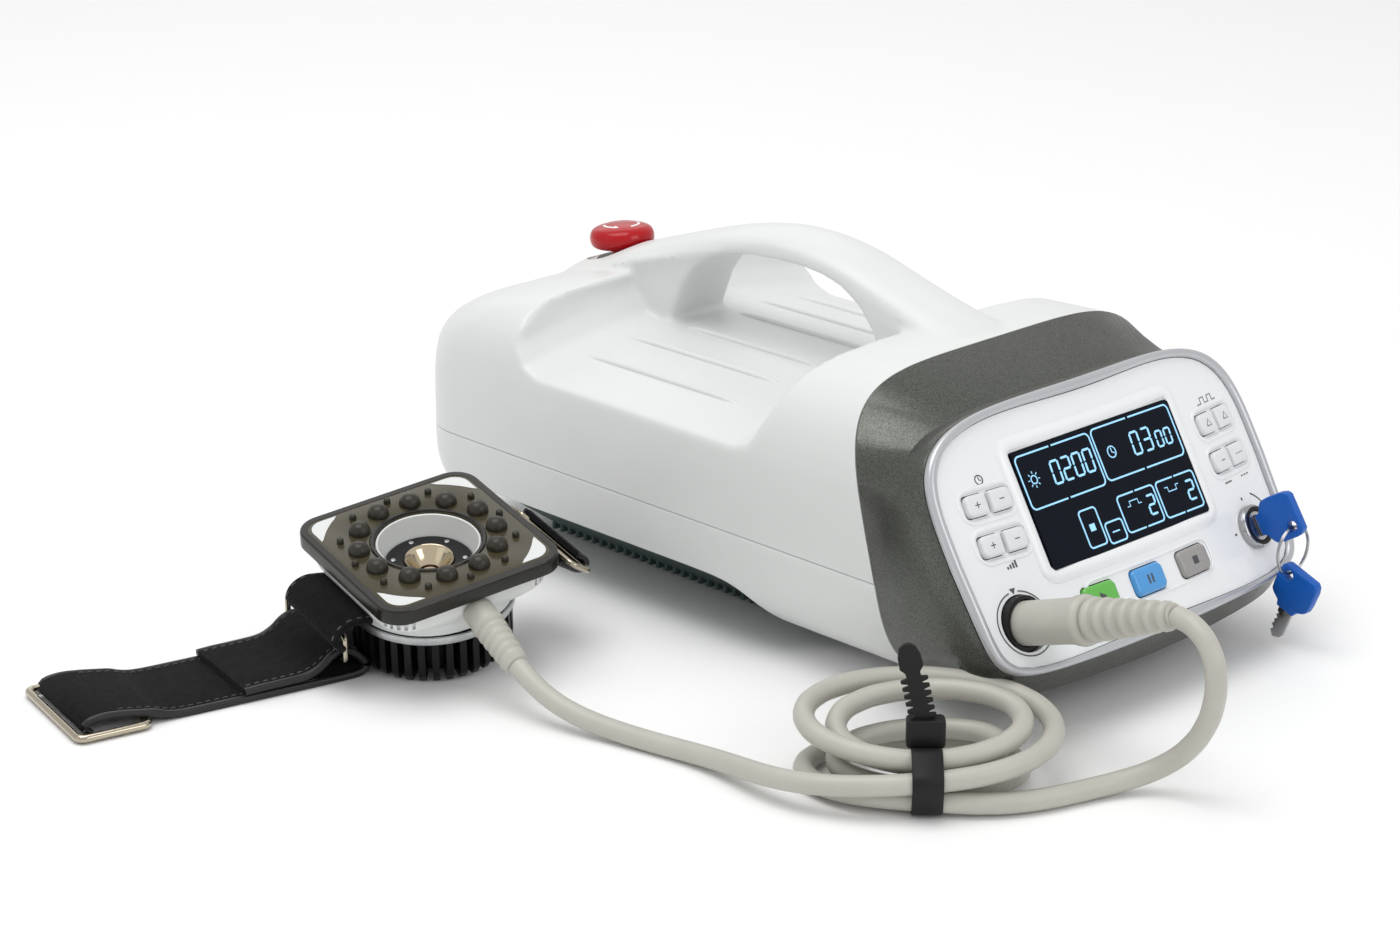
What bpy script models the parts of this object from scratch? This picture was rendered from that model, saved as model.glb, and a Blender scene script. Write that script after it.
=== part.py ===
"""Portable laser therapy console with its contact probe, strap, coiled lead and keys.

Lengths below are in millimetres and are scaled to metres when a mesh is made.
The console's own frame has +X to the operator's right, +Y towards the rear and +Z up,
with Y = 0 at the bottom front edge of the control panel and Z = 0 on the table.
"""
from math import cos, exp, pi, radians, sin, sqrt

import bpy
import bmesh
from mathutils import Matrix, Vector

MM = 0.001
GAP = 0.35                      # clearance between neighbouring pieces

# ---------------------------------------------------------------- driving dimensions
CONSOLE_AT = Vector((124.543, -178.281, 0.0))   # console frame in the part's frame

HALF_WIDTH = 96.0               # of the body at the parting line
PARTING = 53.0                  # height of the parting line
TOP = 132.5                     # crown of the body behind the band
BOTTOM = 2.5                    # lowest point of the shells
REAR = 371.0                    # rear face
REAR_CORNER = 30.0              # plan radius of the rear corners
WALL = 3.0
SEAM_FOOT, SEAM_SLOPE = 63.0, 0.27          # band seam: y = foot + slope * z
TOP_FALL = 0.15                 # share of its height that the top loses towards the rear

PANEL_TILT = radians(30.8)      # panel leans back from the vertical
PANEL_BASE = 30.0               # height of its bottom edge
PANEL_HALF = 100.0
PANEL_MID, PANEL_TOP = 50.0, 109.5          # widest line and crown, measured along the panel
PANEL_BULGE = 7.0               # how far its sides recede behind its middle
PANEL_THICK = 2.5

DISPLAY_AT = (-1.8, 63.8)
DISPLAY_SIZE = (100.0, 50.0)
KEY_SIZE = (11.2, 9.0)
KEY_COLUMNS = (-77.5, -64.7, 69.0, 81.8)
KEY_ROWS = (71.8, 54.8)
BUTTON_SIZE = (19.0, 11.4)
BUTTON_COLUMNS = (-33.0, -3.7, 26.3)
BUTTON_ROW = 21.8
SOCKET_AT = (-75.5, 21.7)
SOCKET_RISE = radians(18.5)     # the socket points a little above the horizontal
LOCK_AT = (73.2, 23.3)
LOCK_RADIUS = 9.6

FLOOR_CROWN, FLOOR_EDGE = 103.0, 92.0       # height of the hand recess floor, middle and side
HANDLE_HALF = 17.0

STOP_AT = (0.0, 328.0)
STOP_RISE = 121.5               # height of the collar's foot on the housing
STOP_LEAN = radians(5.0)
STOP_SEAT = -2.3                # collar's seat above the foot of the stop's axis

PROBE_AT = Vector((-195.0, 238.5, 55.0))    # middle of the contact plate's top face
PROBE_LEAN = radians(12.0)
PROBE_TURN = -0.165
PLATE_SIDE = 84.0
SINK_RADIUS, SINK_HEIGHT = 34.0, 21.0
PROBE_HEIGHT = 49.0
GLAND_AT = Vector((0.0, -38.0, -13.4))       # where the lead's sleeve leaves the probe
GLAND_DROP = radians(18.0)

LEAD = 8.5                      # lead diameter
COIL_AT = Vector((-134.6, 15.8, 0.0))
COIL_AXES = (49.5, 37.0)        # outer half-axes of the flattened coil
COIL_TURN = radians(-44.2)      # direction of the longer one
COIL_BORE = 17.5                # width of the turns lying side by side
COIL_HEIGHTS = (2.0, 25.0)      # the turns are piled up, on the part of the tie that passes under them

STRAP_WIDTH = 50.0
STRAP_FROM = Vector((-220.4, 270.4, 0.0))   # middle of the strap where it leaves the probe
STRAP_WAY = Vector((-0.975, 0.2225, 0.0))
STRAP_LENGTH = 94.0

# ---------------------------------------------------------------- materials
PALETTE = {
    "shell_white": ((0.80, 0.80, 0.79), 0.35, 0.0),
    "panel_white": ((0.86, 0.86, 0.86), 0.12, 0.0),
    "band_grey": ((0.13, 0.135, 0.125), 0.32, 0.8),
    "rim_silver": ((0.62, 0.63, 0.65), 0.25, 0.9),
    "pan_dark": ((0.045, 0.075, 0.07), 0.5, 0.0),
    "rubber_black": ((0.02, 0.02, 0.02), 0.75, 0.0),
    "display_glass": ((0.003, 0.008, 0.02), 0.08, 0.0),
    "key_white": ((0.84, 0.85, 0.86), 0.3, 0.0),
    "button_green": ((0.12, 0.46, 0.06), 0.3, 0.0),
    "button_blue": ((0.06, 0.31, 0.66), 0.3, 0.0),
    "button_grey": ((0.27, 0.26, 0.25), 0.3, 0.0),
    "board_green": ((0.02, 0.16, 0.06), 0.5, 0.0),
    "can_steel": ((0.55, 0.56, 0.57), 0.35, 1.0),
    "chrome": ((0.75, 0.75, 0.77), 0.12, 1.0),
    "key_blue": ((0.02, 0.10, 0.52), 0.35, 0.0),
    "stop_red": ((0.55, 0.008, 0.012), 0.15, 0.0),
    "black_plastic": ((0.02, 0.02, 0.022), 0.45, 0.0),
    "lead_grey": ((0.58, 0.57, 0.53), 0.4, 0.0),
    "plate_smoke": ((0.07, 0.06, 0.042), 0.3, 0.0),
    "cone_champagne": ((0.62, 0.55, 0.42), 0.2, 1.0),
    "sink_black": ((0.012, 0.012, 0.013), 0.4, 0.6),
    "strap_black": ((0.015, 0.015, 0.018), 0.9, 0.0),
    "buckle_nickel": ((0.60, 0.56, 0.48), 0.2, 1.0),
}


def material(slot):
    found = bpy.data.materials.get(slot)
    if found:
        return found
    colour, rough, metal = PALETTE[slot]
    made = bpy.data.materials.new(slot)
    made.use_nodes = True
    shader = made.node_tree.nodes["Principled BSDF"]
    shader.inputs["Base Color"].default_value = (*colour, 1.0)
    shader.inputs["Roughness"].default_value = rough
    shader.inputs["Metallic"].default_value = metal
    made.diffuse_color = (*colour, 1.0)
    return made


# ---------------------------------------------------------------- mesh helpers
def solid(name, points, faces, slot=None, parent=None, matrix=None):
    """A closed mesh object from points in millimetres; its normals are made to face out."""
    mesh = bpy.data.meshes.new(name)
    mesh.from_pydata([tuple(c * MM for c in p) for p in points], [], faces)
    work = bmesh.new()
    work.from_mesh(mesh)
    bmesh.ops.recalc_face_normals(work, faces=work.faces)
    if work.calc_volume(signed=True) < 0:
        bmesh.ops.reverse_faces(work, faces=work.faces)
    work.to_mesh(mesh)
    work.free()
    mesh.shade_smooth()
    mesh.set_sharp_from_angle(angle=radians(35))
    made = bpy.data.objects.new(name, mesh)
    bpy.context.scene.collection.objects.link(made)
    if slot:
        mesh.materials.append(material(slot))
    else:
        made.hide_render = True
        made.display_type = "WIRE"
    made.parent = parent
    if matrix is not None:
        made.matrix_local = matrix
    return made


def loft(rings, capped=True, looped=False):
    """Points and faces of a skin through rings that all have the same number of points."""
    count = len(rings[0])
    points = [p for ring in rings for p in ring]
    faces = []
    spans = len(rings) if looped else len(rings) - 1
    for k in range(spans):
        low, high = k * count, ((k + 1) % len(rings)) * count
        for i in range(count):
            j = (i + 1) % count
            faces.append((low + i, low + j, high + j, high + i))
    if capped and not looped:
        faces.append(tuple(range(count - 1, -1, -1)))
        last = (len(rings) - 1) * count
        faces.append(tuple(range(last, last + count)))
    return points, faces


def slab(outline, low, high):
    """A prism between two heights over a flat outline of (x, y) points."""
    return loft([[(x, y, low) for x, y in outline], [(x, y, high) for x, y in outline]])


def turned(profile, steps=24):
    """A closed profile of (radius, height) points turned about Z; radii of 0 aren't used."""
    rings = []
    for k in range(steps):
        a = 2 * pi * k / steps
        rings.append([(r * cos(a), r * sin(a), z) for r, z in profile])
    return loft(rings, looped=True)


def stacked(profile, steps=24):
    """A solid of revolution with flat ends from a bottom-to-top list of (radius, height)."""
    return loft([disc(r, z, steps) for r, z in profile])


def disc(radius, z, steps=24):
    return [(radius * cos(2 * pi * k / steps), radius * sin(2 * pi * k / steps), z) for k in range(steps)]


def rounded(width, height, radius, steps=3):
    """Corner-rounded rectangle outline about its middle, as (x, y) points."""
    outline = []
    for corner in range(4):
        cx = (width / 2 - radius) * (1 if corner in (0, 3) else -1)
        cy = (height / 2 - radius) * (1 if corner < 2 else -1)
        for k in range(steps + 1):
            a = pi / 2 * (corner + k / steps)
            outline.append((cx + radius * cos(a), cy + radius * sin(a)))
    return outline


def combine(target, other, how):
    step = target.modifiers.new(how.lower() + "_" + other.name, "BOOLEAN")
    step.operation = how
    step.object = other
    step.solver = "EXACT"


def cut(target, name, shape, parent=None, matrix=None):
    tool = solid(name, *shape, parent=parent, matrix=matrix)
    combine(target, tool, "DIFFERENCE")
    return tool


def frame_at(origin, x_axis, y_axis, z_axis):
    """A matrix in metres whose columns are the given axes, placed at a point in millimetres."""
    turn = Matrix((x_axis, y_axis, z_axis)).transposed().to_4x4()
    turn.translation = Vector(origin) * MM
    return turn


# ---------------------------------------------------------------- console outlines
def radius_at(angle, half, up, down, up_power, down_power):
    """Distance from the middle of a rounded outline to its edge in one direction."""
    c, s = abs(cos(angle)), sin(angle)
    tall, power = (up, up_power) if s >= 0 else (down, down_power)
    return ((c / half) ** power + (abs(s) / tall) ** power) ** (-1.0 / power)


def body_radius(angle):
    return radius_at(angle, HALF_WIDTH, TOP - PARTING, PARTING - BOTTOM, 5.0, 3.2)


def panel_radius(angle):
    taper = 1.0 - 0.05 * max(0.0, -sin(angle))
    return radius_at(angle, PANEL_HALF * taper, PANEL_TOP - PANEL_MID, PANEL_MID, 4.0, 9.0)


def half_width(z):
    """Half-width of the body at a height."""
    if z >= PARTING:
        share, power = (z - PARTING) / (TOP - PARTING), 5.0
    else:
        share, power = (PARTING - z) / (PARTING - BOTTOM), 3.2
    return HALF_WIDTH * max(0.0, 1.0 - min(share, 1.0) ** power) ** (1.0 / power)


def seam_y(z):
    return SEAM_FOOT + SEAM_SLOPE * z


def rear_y(z):
    return REAR - 0.9 * (HALF_WIDTH - half_width(z)) - rear_round(z)


def rear_round(z):
    """How far the rear face has curved forward at a height, towards the top."""
    return 33.0 * (max(0.0, z - 76.0) / 57.0) ** 5


def sink_top(y, z):
    """The top falls evenly towards the rear."""
    if z <= PARTING:
        return z
    return PARTING + (z - PARTING) * (1.0 - TOP_FALL * max(0.0, y - 95.0) / 275.0)


def panel_point(u, v, h=0.0):
    """Point on the bulged panel: u across, v up its slope, h out of its surface."""
    y = v * sin(PANEL_TILT) + PANEL_BULGE * (u / 98.0) ** 2 - h * cos(PANEL_TILT)
    return Vector((u, y, PANEL_BASE + v * cos(PANEL_TILT) + h * sin(PANEL_TILT)))


def panel_frame(u, v, h=0.0):
    """Matrix of a spot on the panel: X across, Y up the slope and Z out of it."""
    across = (panel_point(u + 1, v) - panel_point(u - 1, v)).normalized()
    slope = Vector((0.0, sin(PANEL_TILT), cos(PANEL_TILT)))
    out = across.cross(slope).normalized()
    return frame_at(panel_point(u, v) + out * h, across, out.cross(across), out)


def polar_ring(radius, place, steps=56, inset=0.0):
    ring = []
    for k in range(steps):
        a = 2 * pi * k / steps
        r = radius(a) - inset
        ring.append(place(r * cos(a), r * sin(a)))
    return ring


# ---------------------------------------------------------------- housings
def plan_ring(half, front, rear, corner):
    """Plan outline, anticlockwise from the front right: straight front, round rear corners."""
    corner = min(corner, half - 0.5)
    ring = [(half, front + (rear - corner - front) * s) for s in (0.0, 0.25, 0.5, 0.75)]
    for side, start in ((1, 0.0), (-1, pi / 2)):
        for k in range(6):
            a = start + pi / 2 * k / 5
            ring.append((side * (half - corner) + corner * cos(a), rear - corner + corner * sin(a)))
    ring += [(-half, front + (rear - corner - front) * s) for s in (0.75, 0.5, 0.25, 0.0)]
    return ring


def upper_levels(inset, foot):
    """Rings of the upper housing's outer or inner surface, from its foot to its crown."""
    rings = []
    for degrees_up in (0, 14, 26, 34, 39, 44, 50, 58, 68, 80):
        a = radians(degrees_up)
        r = body_radius(a) - inset
        z = foot if degrees_up == 0 else PARTING + r * sin(a)
        half = r * cos(a)
        front = seam_y(z) + (GAP if inset == 0 else -9.0)
        rear = rear_y(min(z + inset * 0.5, TOP)) - inset
        if degrees_up > 0:
            rear = REAR - inset - 0.9 * (HALF_WIDTH - inset - half) - rear_round(z + inset)
        plan = plan_ring(half, front, rear, REAR_CORNER - inset)
        rings.append([(x, y, sink_top(y, z)) for x, y in plan])
    return rings


def recess_shape(grow):
    """The trough under the handle that both hand recesses share; grow thickens it all round."""
    rings = []
    for k in range(11):
        x = -112.0 + 22.4 * k
        floor = FLOOR_CROWN - (FLOOR_CROWN - FLOOR_EDGE) * min(1.2, (x / 94.0) ** 2) - grow
        side = [(126, 176), (135, 129), (138.5, 118), (144, 107), (151, floor + 3 + grow * 0.4),
                (160, floor), (283, floor), (292, floor + 3 + grow * 0.4), (298.5, floor + 11),
                (301, 118), (298.5, 130), (296, 176)]
        middle = 218.0
        rings.append([(x, y + (grow if y > middle else -grow), z) for y, z in side])
    return loft(rings)


def handle_half(y):
    """Half-width of the handle along its length: wider at both roots."""
    front = 6.0 * max(0.0, 1.0 - (y - 92.0) / 55.0) ** 2
    rear = 12.0 * max(0.0, (y - 290.0) / 75.0) ** 1.3
    return HANDLE_HALF + front + rear


def handle_shape():
    ridge = [(100, 127), (100, 134.6), (115, 137.5), (134, 141.7), (155, 147.6), (175, 153.2), (193, 156.2),
             (210, 157), (226, 155.8), (249, 151.2), (278, 142.4), (319, 128.6), (345, 118.8), (356, 114)]
    under = [(356, 101), (330, 97), (282, 97), (276, 110), (271, 122), (264, 131), (254, 137.5), (242, 141.5),
             (228, 144), (212, 145), (196, 145), (185, 143.8), (174, 141), (163, 134.5), (155, 125.5),
             (150, 114), (148, 97), (100, 97)]
    side = ridge + under
    return loft([[(sign * handle_half(y), y, z) for y, z in side] for sign in (-1, 1)])


def make_upper_housing(console):
    outer = solid("upper_housing", *loft(upper_levels(0.0, PARTING + 0.15)), "shell_white", console)
    trough = solid("recess_tool", *recess_shape(0.0), parent=console)
    handle = solid("handle_stock", *handle_shape(), parent=console)
    hollow = solid("hollow_tool", *loft(upper_levels(WALL, PARTING - 2.0)), parent=console)
    grown = solid("grown_recess_tool", *recess_shape(WALL), parent=console)
    combine(hollow, grown, "DIFFERENCE")
    boss = solid("stop_boss_tool", *stacked([(22, -8), (22, 20)], 28), parent=console, matrix=stop_frame())
    combine(hollow, boss, "DIFFERENCE")
    combine(outer, trough, "DIFFERENCE")
    combine(outer, handle, "UNION")
    cut(outer, "stop_well_tool", stacked([(17.0, STOP_SEAT - GAP), (18.0, 20)], 28), console, stop_frame())
    cut(outer, "stop_hole_tool", stacked([(8.4, -40), (8.4, 30)]), console, stop_frame())
    cut(outer, "inlet_hole_tool", slab(rounded(48.6, 27.6, 2), -12, 12), console, inlet_frame())
    combine(outer, hollow, "DIFFERENCE")
    return outer


def lower_edge(y):
    """Height of the lower shell's bottom edge: it comes down to a foot lobe behind the band."""
    blend = 1.0 / (1.0 + exp((y - 147.0) / 6.5))
    return 30.0 - 24.5 * blend


def u_path(half, front, rear, corner):
    """Plan points of the lower shell's U, from the right front round the rear to the left front."""
    stops = (92, 106, 120, 132, 140, 147, 154, 162, 174, 190, 240, 300)
    ring = [(half, front)] + [(half, y) for y in stops]
    for side, start in ((1, 0.0), (-1, pi / 2)):
        for k in range(6):
            a = start + pi / 2 * k / 5
            ring.append((side * (half - corner) + corner * cos(a), rear - corner + corner * sin(a)))
    ring += [(-half, y) for y in reversed(stops)] + [(-half, front)]
    return ring


def make_lower_housing(console):
    shares = (0.0, 0.3, 0.55, 0.78, 1.0)
    top = PARTING - 0.15
    stations = len(u_path(90, 70, 360, 30))
    sections = []
    for i in range(stations):
        section = []
        for inset in (0.0, WALL):
            for share in (shares if inset == 0 else reversed(shares)):
                y_here = u_path(90, 70, 360, 30)[i][1]
                z = top - (top - lower_edge(y_here)) * share
                half = half_width(z) - inset
                x, y = u_path(half, seam_y(z) + GAP, rear_y(z) - inset, REAR_CORNER - inset)[i]
                section.append((x, y, z))
        sections.append(section)
    return solid("lower_housing", *loft(sections), "shell_white", console)


def make_base_pan(console):
    def ring(z, inset):
        points = []
        low_line = 52.0 + (z - 3.0) * 1.28
        for x, y in plan_ring(low_line, seam_y(z) + 4.0, 337.0 + (z - 3.0) * 0.85, 24.0):
            limit = half_width(z) - WALL - 1.5 if y < 175 else 200.0
            sign = 1 if x > 0 else -1
            half = min(abs(x), limit) - inset
            back = min(y, 337.0 + (z - 3.0) * 0.85 - inset)
            points.append((sign * half, max(back, seam_y(z) + 4.0 + inset), z))
        return points
    outer = [ring(z, 0.0) for z in (3.0, 6.0, 12.0, 20.0, 28.0)]
    inner = [ring(z, 2.4) for z in (28.0, 20.0, 12.0, 6.0)]
    return solid("base_pan", *loft(outer + inner), "pan_dark", console)


def make_feet(console):
    for name, x, y in (("foot_front_left", -38, 100), ("foot_front_right", 38, 100),
                       ("foot_rear_left", -40, 318), ("foot_rear_right", 40, 318)):
        place = Matrix.Translation(Vector((x, y, 0)) * MM)
        solid(name, *stacked([(6.5, 0), (7.5, 1.0), (7.5, 3.0 - 0.3)], 16), "rubber_black", console, place)


def make_front(console):
    """Band, silver rim and panel: three rings about the same bulged outline."""
    def on_panel(h, grow_down=0.0):
        def place(u, w):
            drop = grow_down * max(0.0, -w / PANEL_MID) ** 2
            return panel_point(u, PANEL_MID + w - drop, h)
        return place

    def on_seam(x, w):
        z = PARTING + w
        return (x, seam_y(z), z)

    band = [polar_ring(panel_radius, on_panel(-1.6), inset=0.0),
            polar_ring(lambda a: panel_radius(a) + 2.0, on_panel(-13.0, 5.0)),
            polar_ring(body_radius, on_seam),
            polar_ring(body_radius, on_seam, inset=WALL),
            polar_ring(lambda a: panel_radius(a) - 1.0, on_panel(-13.0, 5.0)),
            polar_ring(panel_radius, on_panel(-1.6), inset=WALL)]
    solid("front_band", *loft(band, looped=True), "band_grey", console)

    rim = [polar_ring(panel_radius, on_panel(h), inset=i)
           for i, h in ((0.3, -1.2), (0.0, 1.0), (1.5, 2.2), (4.4, 1.3), (4.4, -1.2))]
    solid("bezel_rim", *loft(rim, looped=True), "rim_silver", console)

    shares = (0.35, 0.7, 0.88, 1.0)
    faces_of = []
    for h in (0.0, -PANEL_THICK):
        rings = []
        for share in shares:
            place = on_panel(h)
            rings.append(polar_ring(lambda a: (panel_radius(a) - 4.8) * share, place))
        faces_of.append(rings)
    panel = solid("front_panel", *loft(faces_of[0] + faces_of[1][::-1]), "panel_white", console)
    for k, u in enumerate(KEY_COLUMNS):
        for v in KEY_ROWS:
            hole = slab(rounded(KEY_SIZE[0] + 0.8, KEY_SIZE[1] + 0.8, 2, 2), -6, 6)
            cut(panel, f"key_hole_tool_{k}_{v:.0f}", hole, console, panel_frame(u, v))
    for k, u in enumerate(BUTTON_COLUMNS):
        hole = slab(rounded(BUTTON_SIZE[0] + 0.8, BUTTON_SIZE[1] + 0.8, 2.6, 2), -6, 6)
        cut(panel, f"button_hole_tool_{k}", hole, console, panel_frame(u, BUTTON_ROW))
    window = slab(rounded(DISPLAY_SIZE[0] + 0.8, DISPLAY_SIZE[1] + 0.8, 1.2, 1), -9, 9)
    cut(panel, "window_tool", window, console, panel_frame(*DISPLAY_AT))
    cut(panel, "socket_hole_tool", stacked([(11.6, -20), (11.6, 20)], 28), console, socket_frame())
    cut(panel, "lock_hole_tool", stacked([(LOCK_RADIUS - 1.0, -9), (LOCK_RADIUS - 1.0, 9)], 24),
        console, panel_frame(*LOCK_AT))


# ---------------------------------------------------------------- panel parts
def make_display(console):
    frame = panel_frame(*DISPLAY_AT)
    glass = slab(rounded(*DISPLAY_SIZE, 1.0, 1), -2.2, -0.4)
    solid("display_window", *glass, "display_glass", console, frame)
    module = slab(rounded(DISPLAY_SIZE[0] + 9, DISPLAY_SIZE[1] + 6, 1.5, 1), -12.0, -5.0)
    solid("display_module", *module, "board_green", console, frame)


def cushioned(size, radius, low, high, crown):
    """A key cap: straight sides and a top edge that is rounded over."""
    full = rounded(*size, radius, 2)
    small = rounded(size[0] - 2 * crown, size[1] - 2 * crown, max(radius - crown, 0.4), 2)
    return loft([[(x, y, low) for x, y in full], [(x, y, high - crown) for x, y in full],
                 [(x, y, high) for x, y in small]])


def make_keys(console):
    names = (("time_up_key", "power_up_key"), ("time_down_key", "power_down_key"),
             ("on_time_key", "continuous_key"), ("off_time_key", "cycle_key"))
    for u, column in zip(KEY_COLUMNS, names):
        for v, name in zip(KEY_ROWS, column):
            solid(name, *cushioned(KEY_SIZE, 1.8, -5.0, 1.6, 0.8), "key_white", console, panel_frame(u, v))
    for u, name, slot in zip(BUTTON_COLUMNS, ("start_button", "wait_button", "stop_button"),
                             ("button_green", "button_blue", "button_grey")):
        solid(name, *cushioned(BUTTON_SIZE, 2.4, -5.0, 2.0, 1.0), slot, console, panel_frame(u, BUTTON_ROW))
    tee = [(-86, 38), (-56, 38), (-56, 10), (57, 10), (57, 38), (86, 38), (86, 90), (-86, 90)]
    board = slab([(u, v - 50) for u, v in tee], -21.0, -19.4)
    solid("keypad_board", *board, "board_green", console, panel_frame(0, 50))


def socket_frame():
    out = Vector((0.0, -cos(SOCKET_RISE), sin(SOCKET_RISE)))
    across = Vector((1.0, 0.0, 0.0))
    return frame_at(panel_point(*SOCKET_AT), across, out.cross(across), out)


def make_socket_and_plug(console):
    frame = socket_frame()
    cup = [(11.2, -15.5), (11.2, 1.0), (9.6, 1.0), (9.6, -13.0)]
    solid("probe_socket", *stacked(cup, 28), "black_plastic", console, frame)
    plug = [(7.0, -12.0), (8.9, -11.0), (8.9, 29.0), (10.0, 31.0), (10.0, 33.5), (8.6, 34.5), (8.8, 39.0),
            (8.0, 45.0), (7.3, 52.0), (6.6, 59.0), (6.0, 66.0), (5.4, 73.0), (5.0, 77.0)]
    solid("probe_plug", *stacked(plug, 20), "lead_grey", console, frame)


def make_lock_and_keys(console):
    frame = panel_frame(*LOCK_AT)
    shell = [(8.2, -24), (8.2, 0.4), (LOCK_RADIUS, 0.4), (LOCK_RADIUS, 2.6), (LOCK_RADIUS - 1.2, 3.6),
             (6.6, 3.6), (6.6, -24)]
    solid("key_switch_body", *turned(shell), "chrome", console, frame)
    rotor = solid("key_switch_rotor", *stacked([(6.3, -23), (6.3, 3.2)]), "can_steel", console, frame)
    cut(rotor, "keyway_tool", slab(rounded(2.6, 9.4, 0.3, 1), -18, 6), console, frame)
    blade = slab([(-0.9, -4.2), (0.9, -4.2), (0.9, 4.2), (-0.9, 4.2)], -17.4, 4.05)
    solid("inserted_key_blade", *blade, "chrome", console, frame)
    key_head(console, "inserted_key_head", frame, 4.4, -5.0)
    spare = spare_frame()
    key_head(console, "spare_key_head", spare, 0.0, 5.0)
    blade = slab([(-0.9, -3.6), (0.9, -3.6), (0.9, 3.6), (-0.9, 3.6)], -15.2, -0.4)
    solid("spare_key_blade", *blade, "chrome", console, spare)
    solid("key_ring", *torus(10.4, 0.9, 28, 8), "chrome", console, ring_frame())


HEAD_LENGTH = 20.0
HOLE_UP = 15.6                  # hole above the foot of a key's head
SPARE_SWING = radians(22.0)     # the hole is off centre, so the spare key hangs aslant


def key_head(console, name, frame, low, hole_at):
    """Plastic bow of a key, standing along Z from its foot, with a hole for the ring."""
    half = [(0, 4.6), (3, 6.0), (4.5, 9.4), (HEAD_LENGTH - 3, 10.0), (HEAD_LENGTH, 7.8)]
    outline = [(w, z) for z, w in half] + [(-w, z) for z, w in reversed(half)]
    rings = [[(x, y, low + z) for y, z in outline] for x in (-2.3, 2.3)]
    made = solid(name, *loft(rings), "key_blue", console, frame)
    hole = Matrix.Translation(Vector((0, hole_at, low + HOLE_UP)) * MM) @ Matrix.Rotation(pi / 2, 4, "Y")
    cut(made, name + "_hole_tool", stacked([(2.2, -5), (2.2, 5)], 12), console, frame @ hole)
    return made


def torus(major, minor, steps, sides):
    rings = []
    for k in range(steps):
        a = 2 * pi * k / steps
        ring = []
        for i in range(sides):
            b = 2 * pi * i / sides
            r = major + minor * cos(b)
            ring.append((r * cos(a), r * sin(a), minor * sin(b)))
        rings.append(ring)
    return loft(rings, looped=True)


def hole_point():
    """Middle of the inserted key's hole, in the console frame, in millimetres."""
    return panel_frame(*LOCK_AT) @ (Vector((0, -5.0, 4.4 + HOLE_UP)) * MM) / MM


def ring_frame():
    """The ring hangs from the key's hole, across the key's faces."""
    middle = hole_point() - Vector((0.0, 0.0, 11.1))
    return frame_at(middle, Vector((1, 0, 0)), Vector((0, 0, 1)), Vector((0, -1, 0)))


def spare_frame():
    """The spare key hangs from the bottom of the ring with its blade down."""
    low = hole_point() - Vector((0.0, 0.0, 11.1 + 11.1))
    out = Vector((0.0, -sin(SPARE_SWING), cos(SPARE_SWING)))
    flat = Vector((1.0, 0.0, 0.0))
    foot = low - out * HOLE_UP - out.cross(flat) * 5.0
    return frame_at(foot, flat, out.cross(flat), out)


def make_insides(console):
    def block(name, size, at, slot, radius=1.5):
        shape = slab(rounded(size[0], size[1], radius, 1), -size[2] / 2, size[2] / 2)
        solid(name, *shape, slot, console, Matrix.Translation(Vector(at) * MM))
    block("main_board", (110, 120, 1.6), (-2, 180, 38), "board_green")
    block("laser_driver", (64, 56, 22), (-28, 165, 52), "can_steel")
    block("power_supply", (88, 58, 32), (0, 285, 54), "can_steel")


def stop_frame():
    out = Vector((0.0, sin(STOP_LEAN), cos(STOP_LEAN)))
    across = Vector((1.0, 0.0, 0.0))
    return frame_at((STOP_AT[0], STOP_AT[1], STOP_RISE), across, out.cross(across), out)


def make_stop(console):
    """Emergency stop: collar on the housing, plunger through it and a mushroom head on top."""
    frame = stop_frame()
    seat = STOP_SEAT
    collar = [(8.0, -14), (8.0, seat), (12.5, seat), (12.5, seat + 1.4), (6.2, seat + 1.4), (6.2, -14)]
    solid("stop_collar", *turned(collar), "black_plastic", console, frame)
    solid("stop_plunger", *stacked([(5.6, -24), (5.6, 3.2)], 20), "stop_red", console, frame)
    head = [(7.2, 3.6), (12.0, 4.2), (14.6, 5.6), (15.1, 8.6), (14.2, 11.6), (10.5, 14.0), (5.0, 15.0)]
    solid("stop_head", *stacked(head, 28), "stop_red", console, frame)
    block = slab(rounded(30, 22, 1.5, 1), -48, -31)
    solid("stop_contacts", *block, "black_plastic", console, frame)


def inlet_frame():
    """Rear connector panel: X across, Y up and Z pointing out of the rear face."""
    return frame_at((10.0, REAR, 70.0), Vector((-1, 0, 0)), Vector((0, 0, 1)), Vector((0, 1, 0)))


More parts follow.
